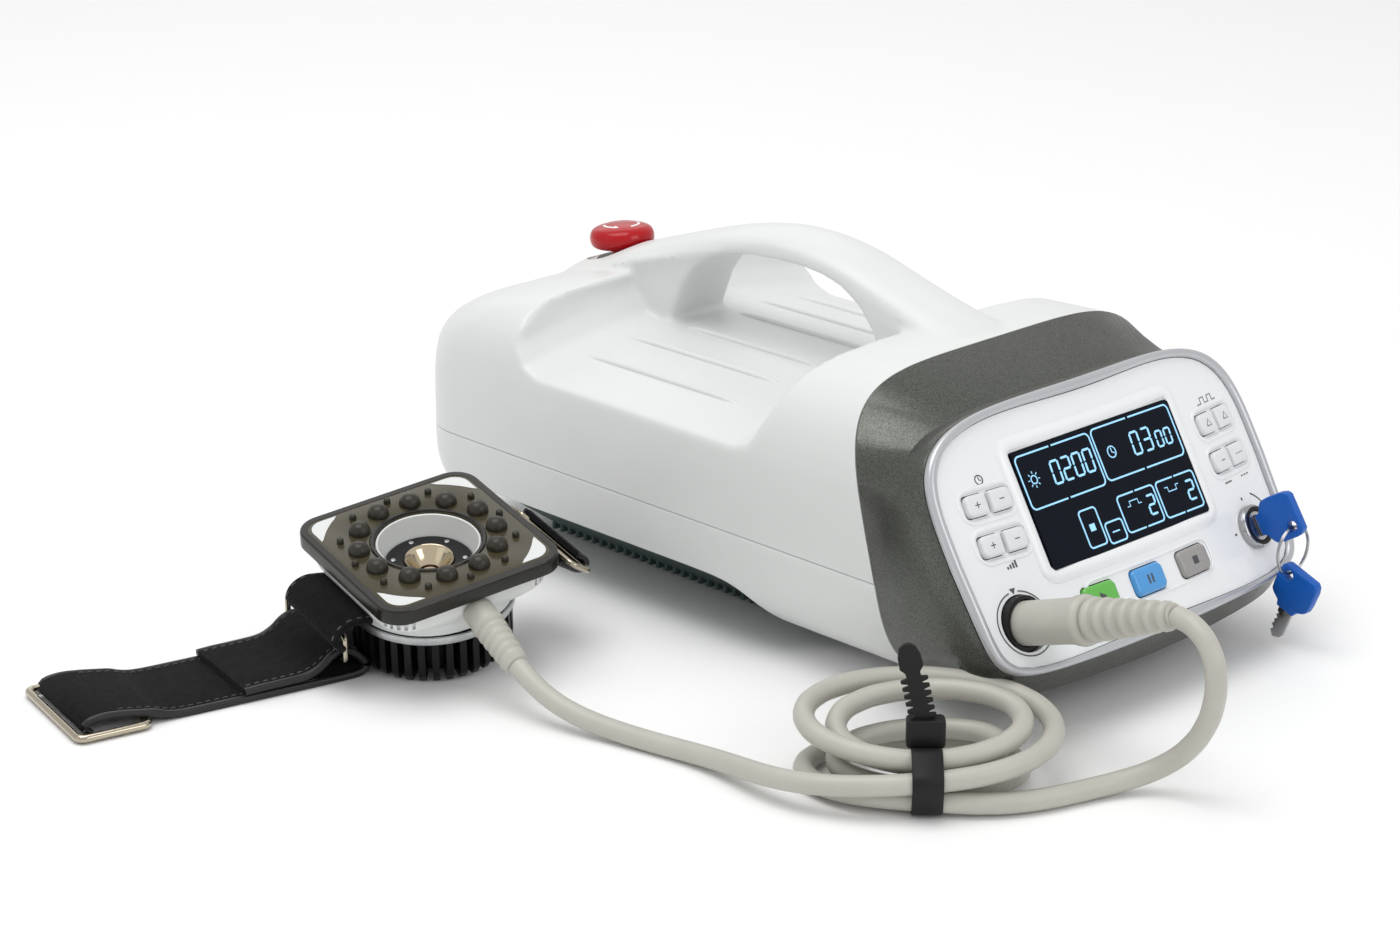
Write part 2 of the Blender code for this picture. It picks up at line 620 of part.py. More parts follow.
def make_inlet(console):
    frame = inlet_frame()
    flange = slab(rounded(54, 33, 3, 2), 0.4, 2.6)
    inlet = solid("mains_inlet", *flange, "black_plastic", console, frame)
    body = solid("inlet_body_stock", *slab(rounded(47.6, 26.6, 1.5, 1), -22.0, 1.0), parent=console,
                 matrix=frame)
    combine(inlet, body, "UNION")
    shift = Matrix.Translation(Vector((-10.5, 2.6, 0)) * MM)
    cut(inlet, "inlet_cup_tool", slab(rounded(24.6, 17.0, 3, 2), -15, 5), console, frame @ shift)
    switch = Matrix.Translation(Vector((14.5, 0, 0)) * MM)
    cut(inlet, "switch_pocket_tool", slab(rounded(13.6, 21.6, 1, 1), -12, 5), console, frame @ switch)
    drawer = Matrix.Translation(Vector((-10.5, -10.0, 0)) * MM)
    cut(inlet, "drawer_pocket_tool", slab(rounded(24.6, 5.8, 0.6, 1), -18, 5), console, frame @ drawer)
    body = slab(rounded(23.8, 5.0, 0.5, 1), -17.0, 3.4)
    solid("fuse_drawer", *body, "black_plastic", console, frame @ drawer)
    side = [[(x, y, z) for y, z in ((-9.4, -4.6), (9.4, -4.6), (9.4, 4.2), (0.0, 2.0), (-9.4, 1.4))]
            for x in (-6.2, 6.2)]
    solid("mains_switch", *loft(side), "black_plastic", console, frame @ switch)


# ---------------------------------------------------------------- probe
def probe_matrix():
    """The probe leans towards the operator: Z along its axis, out of the contact plate."""
    out = Vector((-0.697 * sin(PROBE_LEAN), -0.717 * sin(PROBE_LEAN), cos(PROBE_LEAN))).normalized()
    side = Vector((cos(PROBE_TURN), sin(PROBE_TURN), 0.0))
    side = (side - out * side.dot(out)).normalized()
    return frame_at(PROBE_AT, side, out.cross(side), out)


def make_probe(console):
    frame = probe_matrix()
    foot = -PROBE_HEIGHT
    fins = 36
    star = []
    for k in range(fins):
        for share, r in ((0.0, SINK_RADIUS), (0.5, SINK_RADIUS), (0.5, 25.0), (1.0, 25.0)):
            a = 2 * pi * (k + share) / fins
            star.append((r * cos(a), r * sin(a)))
    low = [(x * 0.95, y * 0.95) for x, y in star]
    rings = [[(x, y, foot + 0.05) for x, y in low], [(x, y, foot + 3.0) for x, y in star],
             [(x, y, foot + SINK_HEIGHT) for x, y in star]]
    sink = solid("heat_sink", *loft(rings), "sink_black", console, frame)
    top = foot + SINK_HEIGHT
    disc = stacked([(SINK_RADIUS + 0.6, top - 1.6), (SINK_RADIUS + 0.6, top + 2.6)], 36)
    plate = solid("sink_plate_stock", *disc, parent=console, matrix=frame)
    combine(sink, plate, "UNION")
    base = top + 3.0
    levels = ((69, 33, base), (69.5, 33, base + 5.0), (75, 16, base + 9.5), (76, 12, base + 11.0),
              (76, 12, -7.0))
    shape = loft([[(x, y, z) for x, y in rounded(side, side, r, 4)] for side, r, z in levels])
    housing = solid("probe_housing", *shape, "shell_white", console, frame)
    cut(housing, "optic_well_tool", stacked([(18.6, -17.0), (22.2, -6.0)], 28), console, frame)
    cut(housing, "diode_bore_tool", stacked([(8.2, base - 2), (8.2, -10)], 20), console, frame)
    make_contact_plate(console, frame)
    disc = [(10.6, -16.6), (18.2, -16.6), (18.2, -9.8), (10.6, -9.8)]
    solid("optic_disc", *turned(disc, 28), "black_plastic", console, frame)
    cone = [(4.2, -16.2), (10.2, -16.2), (10.2, -9.4), (9.6, -9.4), (4.2, -14.6)]
    solid("optic_cone", *turned(cone, 28), "cone_champagne", console, frame)
    solid("laser_diode", *stacked([(7.6, base + 0.4), (7.6, -17.4)], 20), "can_steel", console, frame)
    relief = Matrix.Translation(GLAND_AT * MM) @ Matrix.Rotation(radians(90) + GLAND_DROP, 4, "X")
    sleeve = [(6.2, 0.4), (6.2, 8), (6.9, 10), (6.6, 20), (6.0, 22.5), (6.3, 25), (6.3, 31.5), (5.6, 33.0)]
    solid("probe_strain_relief", *stacked(sleeve, 20), "lead_grey", console, frame @ relief)


def make_contact_plate(console, frame):
    """Smoked plate with its round opening, a ring of soft domes and small pegs between them."""
    square = rounded(PLATE_SIDE, PLATE_SIDE, 11, 4)
    plate = solid("contact_plate", *slab(square, -6.6, 0.0), "plate_smoke", console, frame)
    cut(plate, "plate_hole_tool", stacked([(22.4, -9), (22.4, 3)], 28), console, frame)
    for k in range(12):
        a = 2 * pi * (k + 0.5) / 12
        at = Matrix.Translation(Vector((29.5 * cos(a), 29.5 * sin(a), 0)) * MM)
        dome = solid(f"dome_stock_{k}", *stacked([(4.6, -1), (4.6, 0.6), (3.6, 3.2), (1.6, 4.7)], 10),
                     parent=console, matrix=frame @ at)
        combine(plate, dome, "UNION")


# ---------------------------------------------------------------- strap
def band_shape(centre, width, thick):
    """A flat band along a centre line of (distance, height) points in its own X-Z plane."""
    rings = []
    for k, (x, z) in enumerate(centre):
        before = centre[max(k - 1, 0)]
        after = centre[min(k + 1, len(centre) - 1)]
        dx, dz = after[0] - before[0], after[1] - before[1]
        size = sqrt(dx * dx + dz * dz)
        nx, nz = -dz / size * thick / 2, dx / size * thick / 2
        rings.append([(x + nx, -width / 2, z + nz), (x + nx, width / 2, z + nz),
                      (x - nx, width / 2, z - nz), (x - nx, -width / 2, z - nz)])
    return loft(rings)


def make_ring(console, name, frame, width, depth, wire):
    """Rectangular wire ring lying in its own X-Y plane, its pivot side on the Y axis."""
    outline = rounded(depth, width, 3.0, 3)
    rings = []
    for k, (x, y) in enumerate(outline):
        ax, ay = outline[k - 1]
        bx, by = outline[(k + 1) % len(outline)]
        tx, ty = bx - ax, by - ay
        size = sqrt(tx * tx + ty * ty)
        nx, ny = ty / size, -tx / size
        ring = []
        for i in range(8):
            b = 2 * pi * i / 8
            out = wire / 2 * cos(b)
            ring.append((x + depth / 2 + nx * out, y + ny * out, wire / 2 * sin(b)))
        rings.append(ring)
    return solid(name, *loft(rings, looped=True), "buckle_nickel", console, frame)


def sink_foot(x, y):
    """Height of the heat sink's leaning underside above a spot on the table."""
    frame = probe_matrix()
    out = frame.to_3x3() @ Vector((0, 0, 1))
    foot = frame @ (Vector((0, 0, -PROBE_HEIGHT)) * MM) / MM
    return foot.z - (out.x * (x - foot.x) + out.y * (y - foot.y)) / out.z


def make_strap(console):
    """Strap on the table, a fold of it under the heat sink, its loops, rings and buckle."""
    frame = probe_matrix()
    right = frame @ Matrix.Translation(Vector((38.6, 0, -15)) * MM)
    loop = band_shape([(0, 0), (7, 0.4), (12, -0.4)], 44, 2.6)
    solid("right_strap_loop", *loop, "strap_black", console, right)
    turn = frame @ Matrix.Translation(Vector((52.6, 0, -16.5)) * MM) @ Matrix.Rotation(radians(38), 4, "Y")
    make_ring(console, "right_strap_ring", turn, 56, 11, 2.6)
    left = frame @ Matrix.Translation(Vector((-38.6, 4, -17)) * MM)
    fall = [(0, 0), (-7, 1.5), (-13, -0.5), (-15.5, -5.5), (-12, -9.6)]
    solid("left_strap_loop", *band_shape(fall, 44, 2.6), "strap_black", console, left)

    across = STRAP_WAY.cross(Vector((0, 0, -1)))
    lying = frame_at(STRAP_FROM, STRAP_WAY, Vector((0, 0, 1)).cross(STRAP_WAY), Vector((0, 0, 1)))
    side = [(0, 0.2), (STRAP_LENGTH, 0.2), (STRAP_LENGTH, 3.8), (54, 4.2), (51, 7.4), (4, 7.8), (0, 5.6)]
    half = STRAP_WIDTH / 2
    strap = solid("strap", *loft([[(x, y, z) for x, z in side] for y in (-half, half)]), "strap_black",
                  console, lying)
    rings = []
    for s in (4.0, -12.0, -28.0, -42.0, -56.0):
        ring = []
        for sign, low in ((-1, True), (1, True), (1, False), (-1, False)):
            at = STRAP_FROM + STRAP_WAY * s + across * 14.0 * sign
            top = min(sink_foot(at.x, at.y) - 0.5, 12.5)
            ring.append((at.x, at.y, 0.2 if low else top))
        rings.append(ring)
    fold = solid("strap_fold_stock", *loft(rings), parent=console)
    combine(strap, fold, "UNION")

    ring_at = STRAP_FROM + STRAP_WAY * 9.0 + Vector((0, 0, 9.6))
    upright = frame_at(ring_at, Vector((0.0, 0.0, 1.0)), across, Vector((0, 0, 1)).cross(across))
    make_ring(console, "left_strap_ring", upright, 56, 12, 2.6)
    beyond = frame_at(STRAP_FROM + STRAP_WAY * (STRAP_LENGTH + 2.4) + Vector((0, 0, 2.2)), STRAP_WAY,
                      Vector((0, 0, 1)).cross(STRAP_WAY), Vector((0, 0, 1)))
    make_ring(console, "strap_buckle", beyond, 58, 30, 3.4)


# ---------------------------------------------------------------- lead, coil and tie
def tube(console, name, route, diameter):
    curve = bpy.data.curves.new(name, "CURVE")
    curve.dimensions = "3D"
    curve.bevel_depth = diameter / 2 * MM
    curve.bevel_resolution = 3
    curve.use_fill_caps = True
    points = route_points(route, 2.2 * diameter)
    spline = curve.splines.new("POLY")
    spline.points.add(len(points) - 1)
    for knot, point in zip(spline.points, points):
        knot.co = (*(point * MM), 1.0)
    curve.materials.append(material("lead_grey"))
    made = bpy.data.objects.new(name, curve)
    bpy.context.scene.collection.objects.link(made)
    made.parent = console
    return made


def make_lead(console):
    tip = socket_frame() @ (Vector((0, 0, 77.6)) * MM) / MM
    front = [tip, tip + Vector((-0.4, -9.4, 2.5)), (-80, -77, 70), (-80, -82, 61), (-79, -82, 48),
             (-76, -76, 33),
             (-74, -66, 20), (-73, -56, 9.5), (-79, -50, 5.4), (-92, -43.2, 4.3), (-104, -38.5, 4.3),
             (-115, -33.4, 4.3)]
    tube(console, "lead_front", front, LEAD)
    gland = probe_matrix() @ Matrix.Translation(GLAND_AT * MM)
    gland = gland @ Matrix.Rotation(radians(90) + GLAND_DROP, 4, "X")
    end = gland @ (Vector((0, 0, 33.6)) * MM) / MM
    before = gland @ (Vector((0, 0, 43.0)) * MM) / MM
    rear = [(-171, 57.5, 4.3), (-177.5, 64.5, 4.3), (-186.6, 85.2, 4.3), (-190.8, 109.2, 4.3),
            (-192, 122, 5.2),
            (-194.5, 138.5, 9), before, end]
    tube(console, "lead_rear", rear, LEAD)
    low, high = COIL_HEIGHTS
    outline = [(COIL_BORE, low + 3), (COIL_BORE - 3, low), (3, low), (0, low + 3),
               (0, high - 3), (3, high), (COIL_BORE - 3, high), (COIL_BORE, high - 3)]
    rings = []
    for k in range(36):
        a = 2 * pi * k / 36
        rings.append([((COIL_AXES[0] - d) * cos(a), (COIL_AXES[1] - d) * sin(a), z) for d, z in outline])
    solid("lead_coil", *loft(rings, looped=True), "lead_grey", console, coil_frame())


def coil_frame():
    return Matrix.Translation(COIL_AT * MM) @ Matrix.Rotation(COIL_TURN, 4, "Z")


def make_tie(console):
    """Toothed tie round the coil: X along the coil's radius, Y along the turns."""
    low, high = COIL_HEIGHTS
    middle = COIL_AXES[1] - COIL_BORE / 2
    frame = coil_frame() @ Matrix.Translation(Vector((0, -middle, 0)) * MM)
    frame = frame @ Matrix.Rotation(-pi / 2, 4, "Z")
    wide, tall, centre = COIL_BORE, high - low, (high + low) / 2

    def hoop(grow, y):
        return [(x, y, centre + z) for x, z in rounded(wide + grow, tall + grow, 3, 2)]
    rings = [hoop(0.9, -6.0), hoop(3.4, -6.0), hoop(3.4, 6.0), hoop(0.9, 6.0)]
    tie = solid("cable_tie", *loft(rings, looped=True), "rubber_black", console, frame)
    head = solid("tie_head_stock", *slab(rounded(8.0, 15.0, 2, 2), high + 0.6, high + 8.5), parent=console,
                 matrix=frame @ Matrix.Translation(Vector((-wide / 2 - 3.6, 0, 0)) * MM))
    combine(tie, head, "UNION")
    tail = slab(rounded(2.4, 10.5, 1.0, 1), high + 3.0, high + 40.0)
    lean = Matrix.Translation(Vector((-wide / 2 - 3.6, 0, 0)) * MM) @ Matrix.Rotation(radians(4), 4, "Y")
    combine(tie, solid("tie_tail_stock", *tail, parent=console, matrix=frame @ lean), "UNION")


def route_points(route, each):
    """Points on a smooth curve through the route, each a few diameters apart."""
    pts = [Vector(p) for p in route]
    pts = [pts[0] * 2 - pts[1]] + pts + [pts[-1] * 2 - pts[-2]]
    out = []
    for i in range(1, len(pts) - 2):
        a, b, c, d = pts[i - 1], pts[i], pts[i + 1], pts[i + 2]
        steps = max(1, round((c - b).length / each))
        for k in range(steps):
            t = k / steps
            out.append(0.5 * ((2 * b) + (c - a) * t + (2 * a - 5 * b + 4 * c - d) * t * t
                              + (3 * b - a - 3 * c + d) * t ** 3))
    out.append(pts[-2])
    return out


def main():
    for old in list(bpy.data.objects):
        bpy.data.objects.remove(old, do_unlink=True)
    console = bpy.data.objects.new("console_frame", None)
    bpy.context.scene.collection.objects.link(console)
    console.location = CONSOLE_AT * MM
    make_upper_housing(console)
    make_lower_housing(console)
    make_base_pan(console)
    make_feet(console)
    make_front(console)
    make_display(console)
    make_keys(console)
    make_socket_and_plug(console)
    make_lock_and_keys(console)
    make_insides(console)
    make_stop(console)
    make_inlet(console)
    make_probe(console)
    make_strap(console)
    make_lead(console)
    make_tie(console)


main()
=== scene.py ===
"""Looks of the portable laser therapy console, its probe, strap, lead and keys.

Lengths are in millimetres in the console's own frame unless a name says otherwise:
X to the operator's right, Y to the rear, Z up, Y = 0 at the panel's bottom edge.
"""
from math import cos, exp, hypot, pi, radians, sin

import bmesh
import bpy
from mathutils import Matrix, Vector


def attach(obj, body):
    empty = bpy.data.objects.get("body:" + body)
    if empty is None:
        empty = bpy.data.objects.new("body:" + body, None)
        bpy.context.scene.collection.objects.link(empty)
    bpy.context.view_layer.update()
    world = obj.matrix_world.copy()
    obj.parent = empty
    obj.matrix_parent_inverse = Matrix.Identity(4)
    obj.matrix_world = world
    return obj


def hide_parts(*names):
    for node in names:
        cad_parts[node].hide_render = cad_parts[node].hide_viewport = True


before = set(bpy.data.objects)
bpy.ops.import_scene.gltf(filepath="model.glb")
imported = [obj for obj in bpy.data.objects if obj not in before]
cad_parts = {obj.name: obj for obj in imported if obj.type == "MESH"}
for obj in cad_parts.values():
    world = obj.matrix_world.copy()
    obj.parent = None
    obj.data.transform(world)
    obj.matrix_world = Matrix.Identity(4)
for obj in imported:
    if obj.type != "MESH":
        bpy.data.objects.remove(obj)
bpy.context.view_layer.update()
MM = 0.001                      # metres in a millimetre


def shift(x, y, z):
    return Matrix.Translation(Vector((x, y, z)) * MM)


CONSOLE = shift(124.543, -178.281, 0.0)
BODY = "console"
X_AXIS, Z_AXIS = Vector((1.0, 0.0, 0.0)), Vector((0.0, 0.0, 1.0))

HALF_WIDTH, PARTING, TOP, BOTTOM, REAR, REAR_CORNER, WALL = 96.0, 53.0, 132.5, 2.5, 371.0, 30.0, 3.0
TILT, PANEL_BASE = radians(30.8), 30.0
PANEL_HALF, PANEL_MID, PANEL_TOP = 100.0, 50.0, 109.5
RIB_START = 184
LEAD = 8.5

# places on the panel: across it, and up its slope
DISPLAY_AT, LOCK_AT, SOCKET_AT = (-1.8, 63.8), (73.2, 23.3), (-75.5, 21.7)
KEY_COLUMNS, KEY_ROWS = (-77.5, -64.7, 69.0, 81.8), (71.8, 54.8)
KEY_PAIRS = [(u, v) for u in (-71.1, 75.4) for v in KEY_ROWS]
BUTTON_COLUMNS, BUTTON_ROW = (-33.0, -3.7, 26.3), 21.8
SOCKET_RISE = radians(18.5)


# ---------------------------------------------------------------- camera, light and floor
def make_stage():
    scene = bpy.context.scene
    scene.view_settings.view_transform = "Standard"
    lens = bpy.data.cameras.new("view")
    lens.lens, lens.sensor_width = 85.11, 36.0
    lens.clip_start, lens.clip_end = 0.05, 50.0
    camera = bpy.data.objects.new("view", lens)
    scene.collection.objects.link(camera)
    az, el = 0.7719, 0.3398
    ahead = Vector((sin(az) * cos(el), cos(az) * cos(el), -sin(el)))
    right = Vector((cos(az), -sin(az), 0.0))
    turn = Matrix((right, right.cross(ahead), -ahead)).transposed().to_4x4()
    turn.translation = (-0.887557, -0.941281, 0.542400)
    camera.matrix_world = turn
    scene.camera = camera

    world = bpy.data.worlds.new("studio")
    world.use_nodes = True
    sky = world.node_tree.nodes["Background"].inputs
    sky["Color"].default_value = (1.0, 1.0, 1.0, 1.0)
    sky["Strength"].default_value = 0.72
    scene.world = world
    for name, spot, size, power in (("top", (-0.3, 0.2, 1.9), 1.4, 17.0), ("front", (0.3, -1.9, 1.1), 1.0, 6.0),
                                    ("left", (-1.9, 0.5, 1.0), 1.2, 1.0), ("rear", (1.2, 1.6, 1.3), 1.3, 3.0)):
        data = bpy.data.lights.new(name, "AREA")
        data.size, data.energy = size, power
        lamp = bpy.data.objects.new(name, data)
        lamp.location = spot
        lamp.rotation_euler = (Vector((0.0, 0.0, 0.05)) - Vector(spot)).to_track_quat("-Z", "Y").to_euler()
        scene.collection.objects.link(lamp)
    mesh = bpy.data.meshes.new("floor")
    far = 14.0
    mesh.from_pydata([(-far, -far, 0), (far, -far, 0), (far, far, 0), (-far, far, 0)], [], [(0, 1, 2, 3)])
    floor = bpy.data.objects.new("floor", mesh)
    scene.collection.objects.link(floor)
    mesh.materials.append(finish("floor_white", (0.93, 0.93, 0.93), 0.7, spread=0.003, grain=(40, 0.02, 0.2)))


# ---------------------------------------------------------------- materials
def finish(name, colour, rough, metal=0.0, spread=0.03, patch=22.0, grain=(1400.0, 0.05, 0.05),
           wobble=0.05, coat=0.0, sheen=0.0, through=0.0, flakes=0.0, weave=0.0, glow=0.0, gleam=0.5):
    """Procedural finish in the object's own space: patchy colour, uneven roughness and a fine bump.

    grain is the bump's scale, its strength and its height in millimetres.
    """
    made = bpy.data.materials.get(name)
    if made:
        return made
    made = bpy.data.materials.new(name)
    made.use_nodes = True
    made.diffuse_color = (*colour, 1.0)
    nodes, links = made.node_tree.nodes, made.node_tree.links
    shader = nodes["Principled BSDF"]
    for socket, value in (("Metallic", metal), ("Coat Weight", coat), ("Specular IOR Level", gleam),
                          ("Coat Roughness", 0.08), ("Sheen Weight", sheen), ("Sheen Roughness", 0.45),
                          ("Transmission Weight", through)):
        shader.inputs[socket].default_value = value
    where = nodes.new("ShaderNodeTexCoord").outputs["Object"]

    def speckle(scale, detail=3.0):
        node = nodes.new("ShaderNodeTexNoise")
        node.inputs["Scale"].default_value = scale
        node.inputs["Detail"].default_value = detail
        links.new(where, node.inputs["Vector"])
        return node.outputs["Fac"]

    def spreading(fac, low, high):
        node = nodes.new("ShaderNodeMapRange")
        node.inputs["From Min"].default_value, node.inputs["From Max"].default_value = 0.3, 0.7
        node.inputs["To Min"].default_value, node.inputs["To Max"].default_value = low, high
        links.new(fac, node.inputs["Value"])
        return node.outputs["Result"]

    mix = nodes.new("ShaderNodeMix")
    mix.data_type = "RGBA"
    dark = [max(0.0, c * (1.0 - spread)) for c in colour]
    light = [min(1.0, c * (1.0 + spread)) for c in colour]
    mix.inputs["A"].default_value, mix.inputs["B"].default_value = (*dark, 1.0), (*light, 1.0)
    if flakes:
        cells = nodes.new("ShaderNodeTexVoronoi")
        cells.inputs["Scale"].default_value = flakes
        links.new(where, cells.inputs["Vector"])
        parts = nodes.new("ShaderNodeSeparateColor")
        links.new(cells.outputs["Color"], parts.inputs["Color"])
        tint = parts.outputs["Red"]
    else:
        tint = speckle(patch)
    links.new(spreading(tint, 0.0, 1.0), mix.inputs["Factor"])
    links.new(mix.outputs["Result"], shader.inputs["Base Color"])
    links.new(spreading(speckle(patch * 3.0), max(0.02, rough - wobble), min(1.0, rough + wobble)),
              shader.inputs["Roughness"])
    height = speckle(grain[0], 2.0)
    if weave:
        wave = nodes.new("ShaderNodeTexWave")
        wave.inputs["Scale"].default_value = weave
        wave.inputs["Distortion"].default_value = 2.0
        links.new(where, wave.inputs["Vector"])
        both = nodes.new("ShaderNodeMath")
        both.operation = "MULTIPLY"
        links.new(wave.outputs["Fac"], both.inputs[0])
        links.new(height, both.inputs[1])
        height = both.outputs["Value"]
    bump = nodes.new("ShaderNodeBump")
    bump.inputs["Strength"].default_value = grain[1]
    bump.inputs["Distance"].default_value = grain[2] * MM
    links.new(height, bump.inputs["Height"])
    links.new(bump.outputs["Normal"], shader.inputs["Normal"])
    if glow:
        shader.inputs["Emission Color"].default_value = (*colour, 1.0)
        shader.inputs["Emission Strength"].default_value = glow
    return made


def make_finishes():
    """The finish of each slot, then those that only small details use."""
    gel = {"rough": 0.25, "coat": 0.4, "grain": (1800, 0.06, 0.04)}
    give = {
        "shell_white": finish("shell_plastic", (0.70, 0.715, 0.705), 0.38, grain=(2200, 0.12, 0.06),
                              spread=0.012),
        "panel_white": finish("panel_gloss", (0.80, 0.815, 0.83), 0.16, grain=(300, 0.03, 0.05), spread=0.008,
                              coat=0.3),
        "band_grey": finish("band_metallic", (0.095, 0.1, 0.088), 0.36, 0.8, spread=0.4, flakes=4200,
                            grain=(4200, 0.1, 0.04), coat=0.12),
        "rim_silver": finish("rim_silver_paint", (0.50, 0.51, 0.53), 0.3, 0.5, grain=(1500, 0.02, 0.02),
                             coat=0.2, wobble=0.02),
        "pan_dark": finish("pan_plastic", (0.05, 0.085, 0.08), 0.46, grain=(1800, 0.25, 0.1)),
        "rubber_black": finish("rubber", (0.009, 0.009, 0.009), 0.5, gleam=0.25, grain=(1500, 0.3, 0.08),
                               spread=0.15),
        "display_glass": finish("display_dark_glass", (0.001, 0.003, 0.009), 0.12, grain=(200, 0.01, 0.02),
                                gleam=0.12),
        "key_white": finish("key_rubber_white", (0.71, 0.72, 0.735), 0.33, grain=(2400, 0.08, 0.04),
                            spread=0.01),
        "button_green": finish("button_green_gel", (0.11, 0.44, 0.06), **gel),
        "button_blue": finish("button_blue_gel", (0.06, 0.30, 0.66), **gel),
        "button_grey": finish("button_grey_gel", (0.29, 0.28, 0.27), **gel),
        "board_green": finish("circuit_board", (0.02, 0.16, 0.06), 0.45, grain=(900, 0.2, 0.05), spread=0.2,
                              patch=300),
        "can_steel": finish("brushed_can", (0.52, 0.53, 0.54), 0.3, 1.0, grain=(1700, 0.12, 0.03), spread=0.08,
                            patch=160),
        "chrome": finish("chrome_plate", (0.42, 0.42, 0.43), 0.14, 1.0, grain=(900, 0.04, 0.02)),
        "key_blue": finish("key_bow_blue", (0.004, 0.095, 0.43), 0.36, gleam=0.35, grain=(1500, 0.15, 0.06),
                           spread=0.06),
        "stop_red": finish("stop_red_gloss", (0.42, 0.002, 0.006), 0.16, gleam=0.35, grain=(700, 0.03, 0.04)),
        "black_plastic": finish("black_moulding", (0.008, 0.008, 0.009), 0.42, gleam=0.25,
                                grain=(2000, 0.25, 0.06), spread=0.15),
        "lead_grey": finish("lead_jacket", (0.47, 0.46, 0.41), 0.4, grain=(1300, 0.1, 0.08), patch=60),
        "plate_smoke": finish("smoked_plate", (0.075, 0.064, 0.034), 0.2, through=0.25,
                              grain=(400, 0.03, 0.05), gleam=0.35),
        "cone_champagne": finish("cone_polish", (0.62, 0.53, 0.38), 0.15, 1.0, grain=(1200, 0.06, 0.02),
                                 spread=0.06),
        "sink_black": finish("anodised_black", (0.006, 0.006, 0.0065), 0.38, 0.2, gleam=0.3,
                             grain=(1500, 0.15, 0.04), spread=0.2),
        "strap_black": finish("suede_strap", (0.0065, 0.0065, 0.0075), 0.9, sheen=0.04, gleam=0.12,
                              grain=(1500, 0.9, 0.35), spread=0.35, patch=250, weave=700),
        "buckle_nickel": finish("nickel_plate", (0.47, 0.42, 0.33), 0.17, 1.0, grain=(800, 0.05, 0.02),
                                spread=0.06)}
    finish("glow_segments", (0.27, 0.55, 0.78), 0.4, glow=0.55, spread=0.05, patch=400)
    finish("print_dark", (0.06, 0.062, 0.066), 0.5, spread=0.1, patch=500)
    finish("print_white", (0.82, 0.82, 0.80), 0.5, spread=0.04, patch=500)
    finish("edge_binding", (0.008, 0.008, 0.009), 0.36, gleam=0.35, grain=(1700, 0.45, 0.12), coat=0.15,
           weave=900)
    finish("thread_dark", (0.085, 0.085, 0.09), 0.5, gleam=0.3, grain=(3000, 0.5, 0.1))
    finish("plate_border", (0.012, 0.011, 0.008), 0.25, gleam=0.4, grain=(400, 0.03, 0.05))
    finish("dome_rubber", (0.028, 0.024, 0.016), 0.33, gleam=0.35, grain=(1500, 0.08, 0.04), spread=0.1,
           patch=200)
    finish("lens_dark", (0.05, 0.01, 0.015), 0.05, coat=0.8, grain=(300, 0.01, 0.01))
    return give


# ---------------------------------------------------------------- mesh helpers
def loft(rings, capped=True, looped=False):
    count = len(rings[0])
    points = [p for ring in rings for p in ring]
    faces = []
    for k in range(len(rings) if looped else len(rings) - 1):
        low, high = k * count, ((k + 1) % len(rings)) * count
        for i in range(count):
            j = (i + 1) % count
            faces.append((low + i, low + j, high + j, high + i))
    if capped and not looped:
        faces.append(tuple(range(count - 1, -1, -1)))
        last = (len(rings) - 1) * count
        faces.append(tuple(range(last, last + count)))
    return points, faces


def slab(outline, low, high):
    return loft([[(x, y, low) for x, y in outline], [(x, y, high) for x, y in outline]])


def lathe(profile, steps=72, closed=False):
    """Solid of revolution: bottom to top (radius, height), or a closed section that stays off the axis."""
    if closed:
        return loft([[(r * cos(2 * pi * k / steps), r * sin(2 * pi * k / steps), z) for r, z in profile]
                     for k in range(steps)], looped=True)
    return loft([[(r * cos(2 * pi * k / steps), r * sin(2 * pi * k / steps), z) for k in range(steps)]
                 for r, z in profile])


def rounded(width, height, radius, steps=8):
    radii = radius if isinstance(radius, (list, tuple)) else [radius] * 4
    outline = []
    for corner, r in enumerate(radii):
        cx = (width / 2 - r) * (1 if corner in (0, 3) else -1)
        cy = (height / 2 - r) * (1 if corner < 2 else -1)
        for k in range(steps + 1):
            a = pi / 2 * (corner + k / steps)
            outline.append((cx + r * cos(a), cy + r * sin(a)))
    return outline


def curved(points, steps=6):
    """Catmull-Rom through a list of points in the plane or in space, as vectors."""
    pts = [Vector(p) for p in points]
    pts = [pts[0] * 2 - pts[1]] + pts + [pts[-1] * 2 - pts[-2]]
    out = []
    for i in range(1, len(pts) - 2):
        a, b, c, d = pts[i - 1], pts[i], pts[i + 1], pts[i + 2]
        for k in range(steps):
            t = k / steps
            out.append(0.5 * ((2 * b) + (c - a) * t + (2 * a - 5 * b + 4 * c - d) * t * t
                              + (3 * b - a - 3 * c + d) * t ** 3))
    return out + [pts[-2]]


def curved_line(points, steps):
    return [tuple(p) for p in curved(points, steps)]


def even(points, count):
    """The same line with evenly spaced points."""
    run = [0.0]
    for a, b in zip(points, points[1:]):
        run.append(run[-1] + (b - a).length)
    out, k = [], 0
    for i in range(count + 1):
        goal = run[-1] * i / count
        while k < len(run) - 2 and run[k + 1] < goal:
            k += 1
        share = (goal - run[k]) / max(run[k + 1] - run[k], 1e-9)
        out.append(points[k].lerp(points[k + 1], min(1.0, share)))
    return out


def heading(pts, i, closed):
    """Direction of a line at its point i."""
    before = pts[i - 1] if (i or closed) else pts[i]
    after = pts[(i + 1) % len(pts)] if (i < len(pts) - 1 or closed) else pts[i]
    return (after - before).normalized()


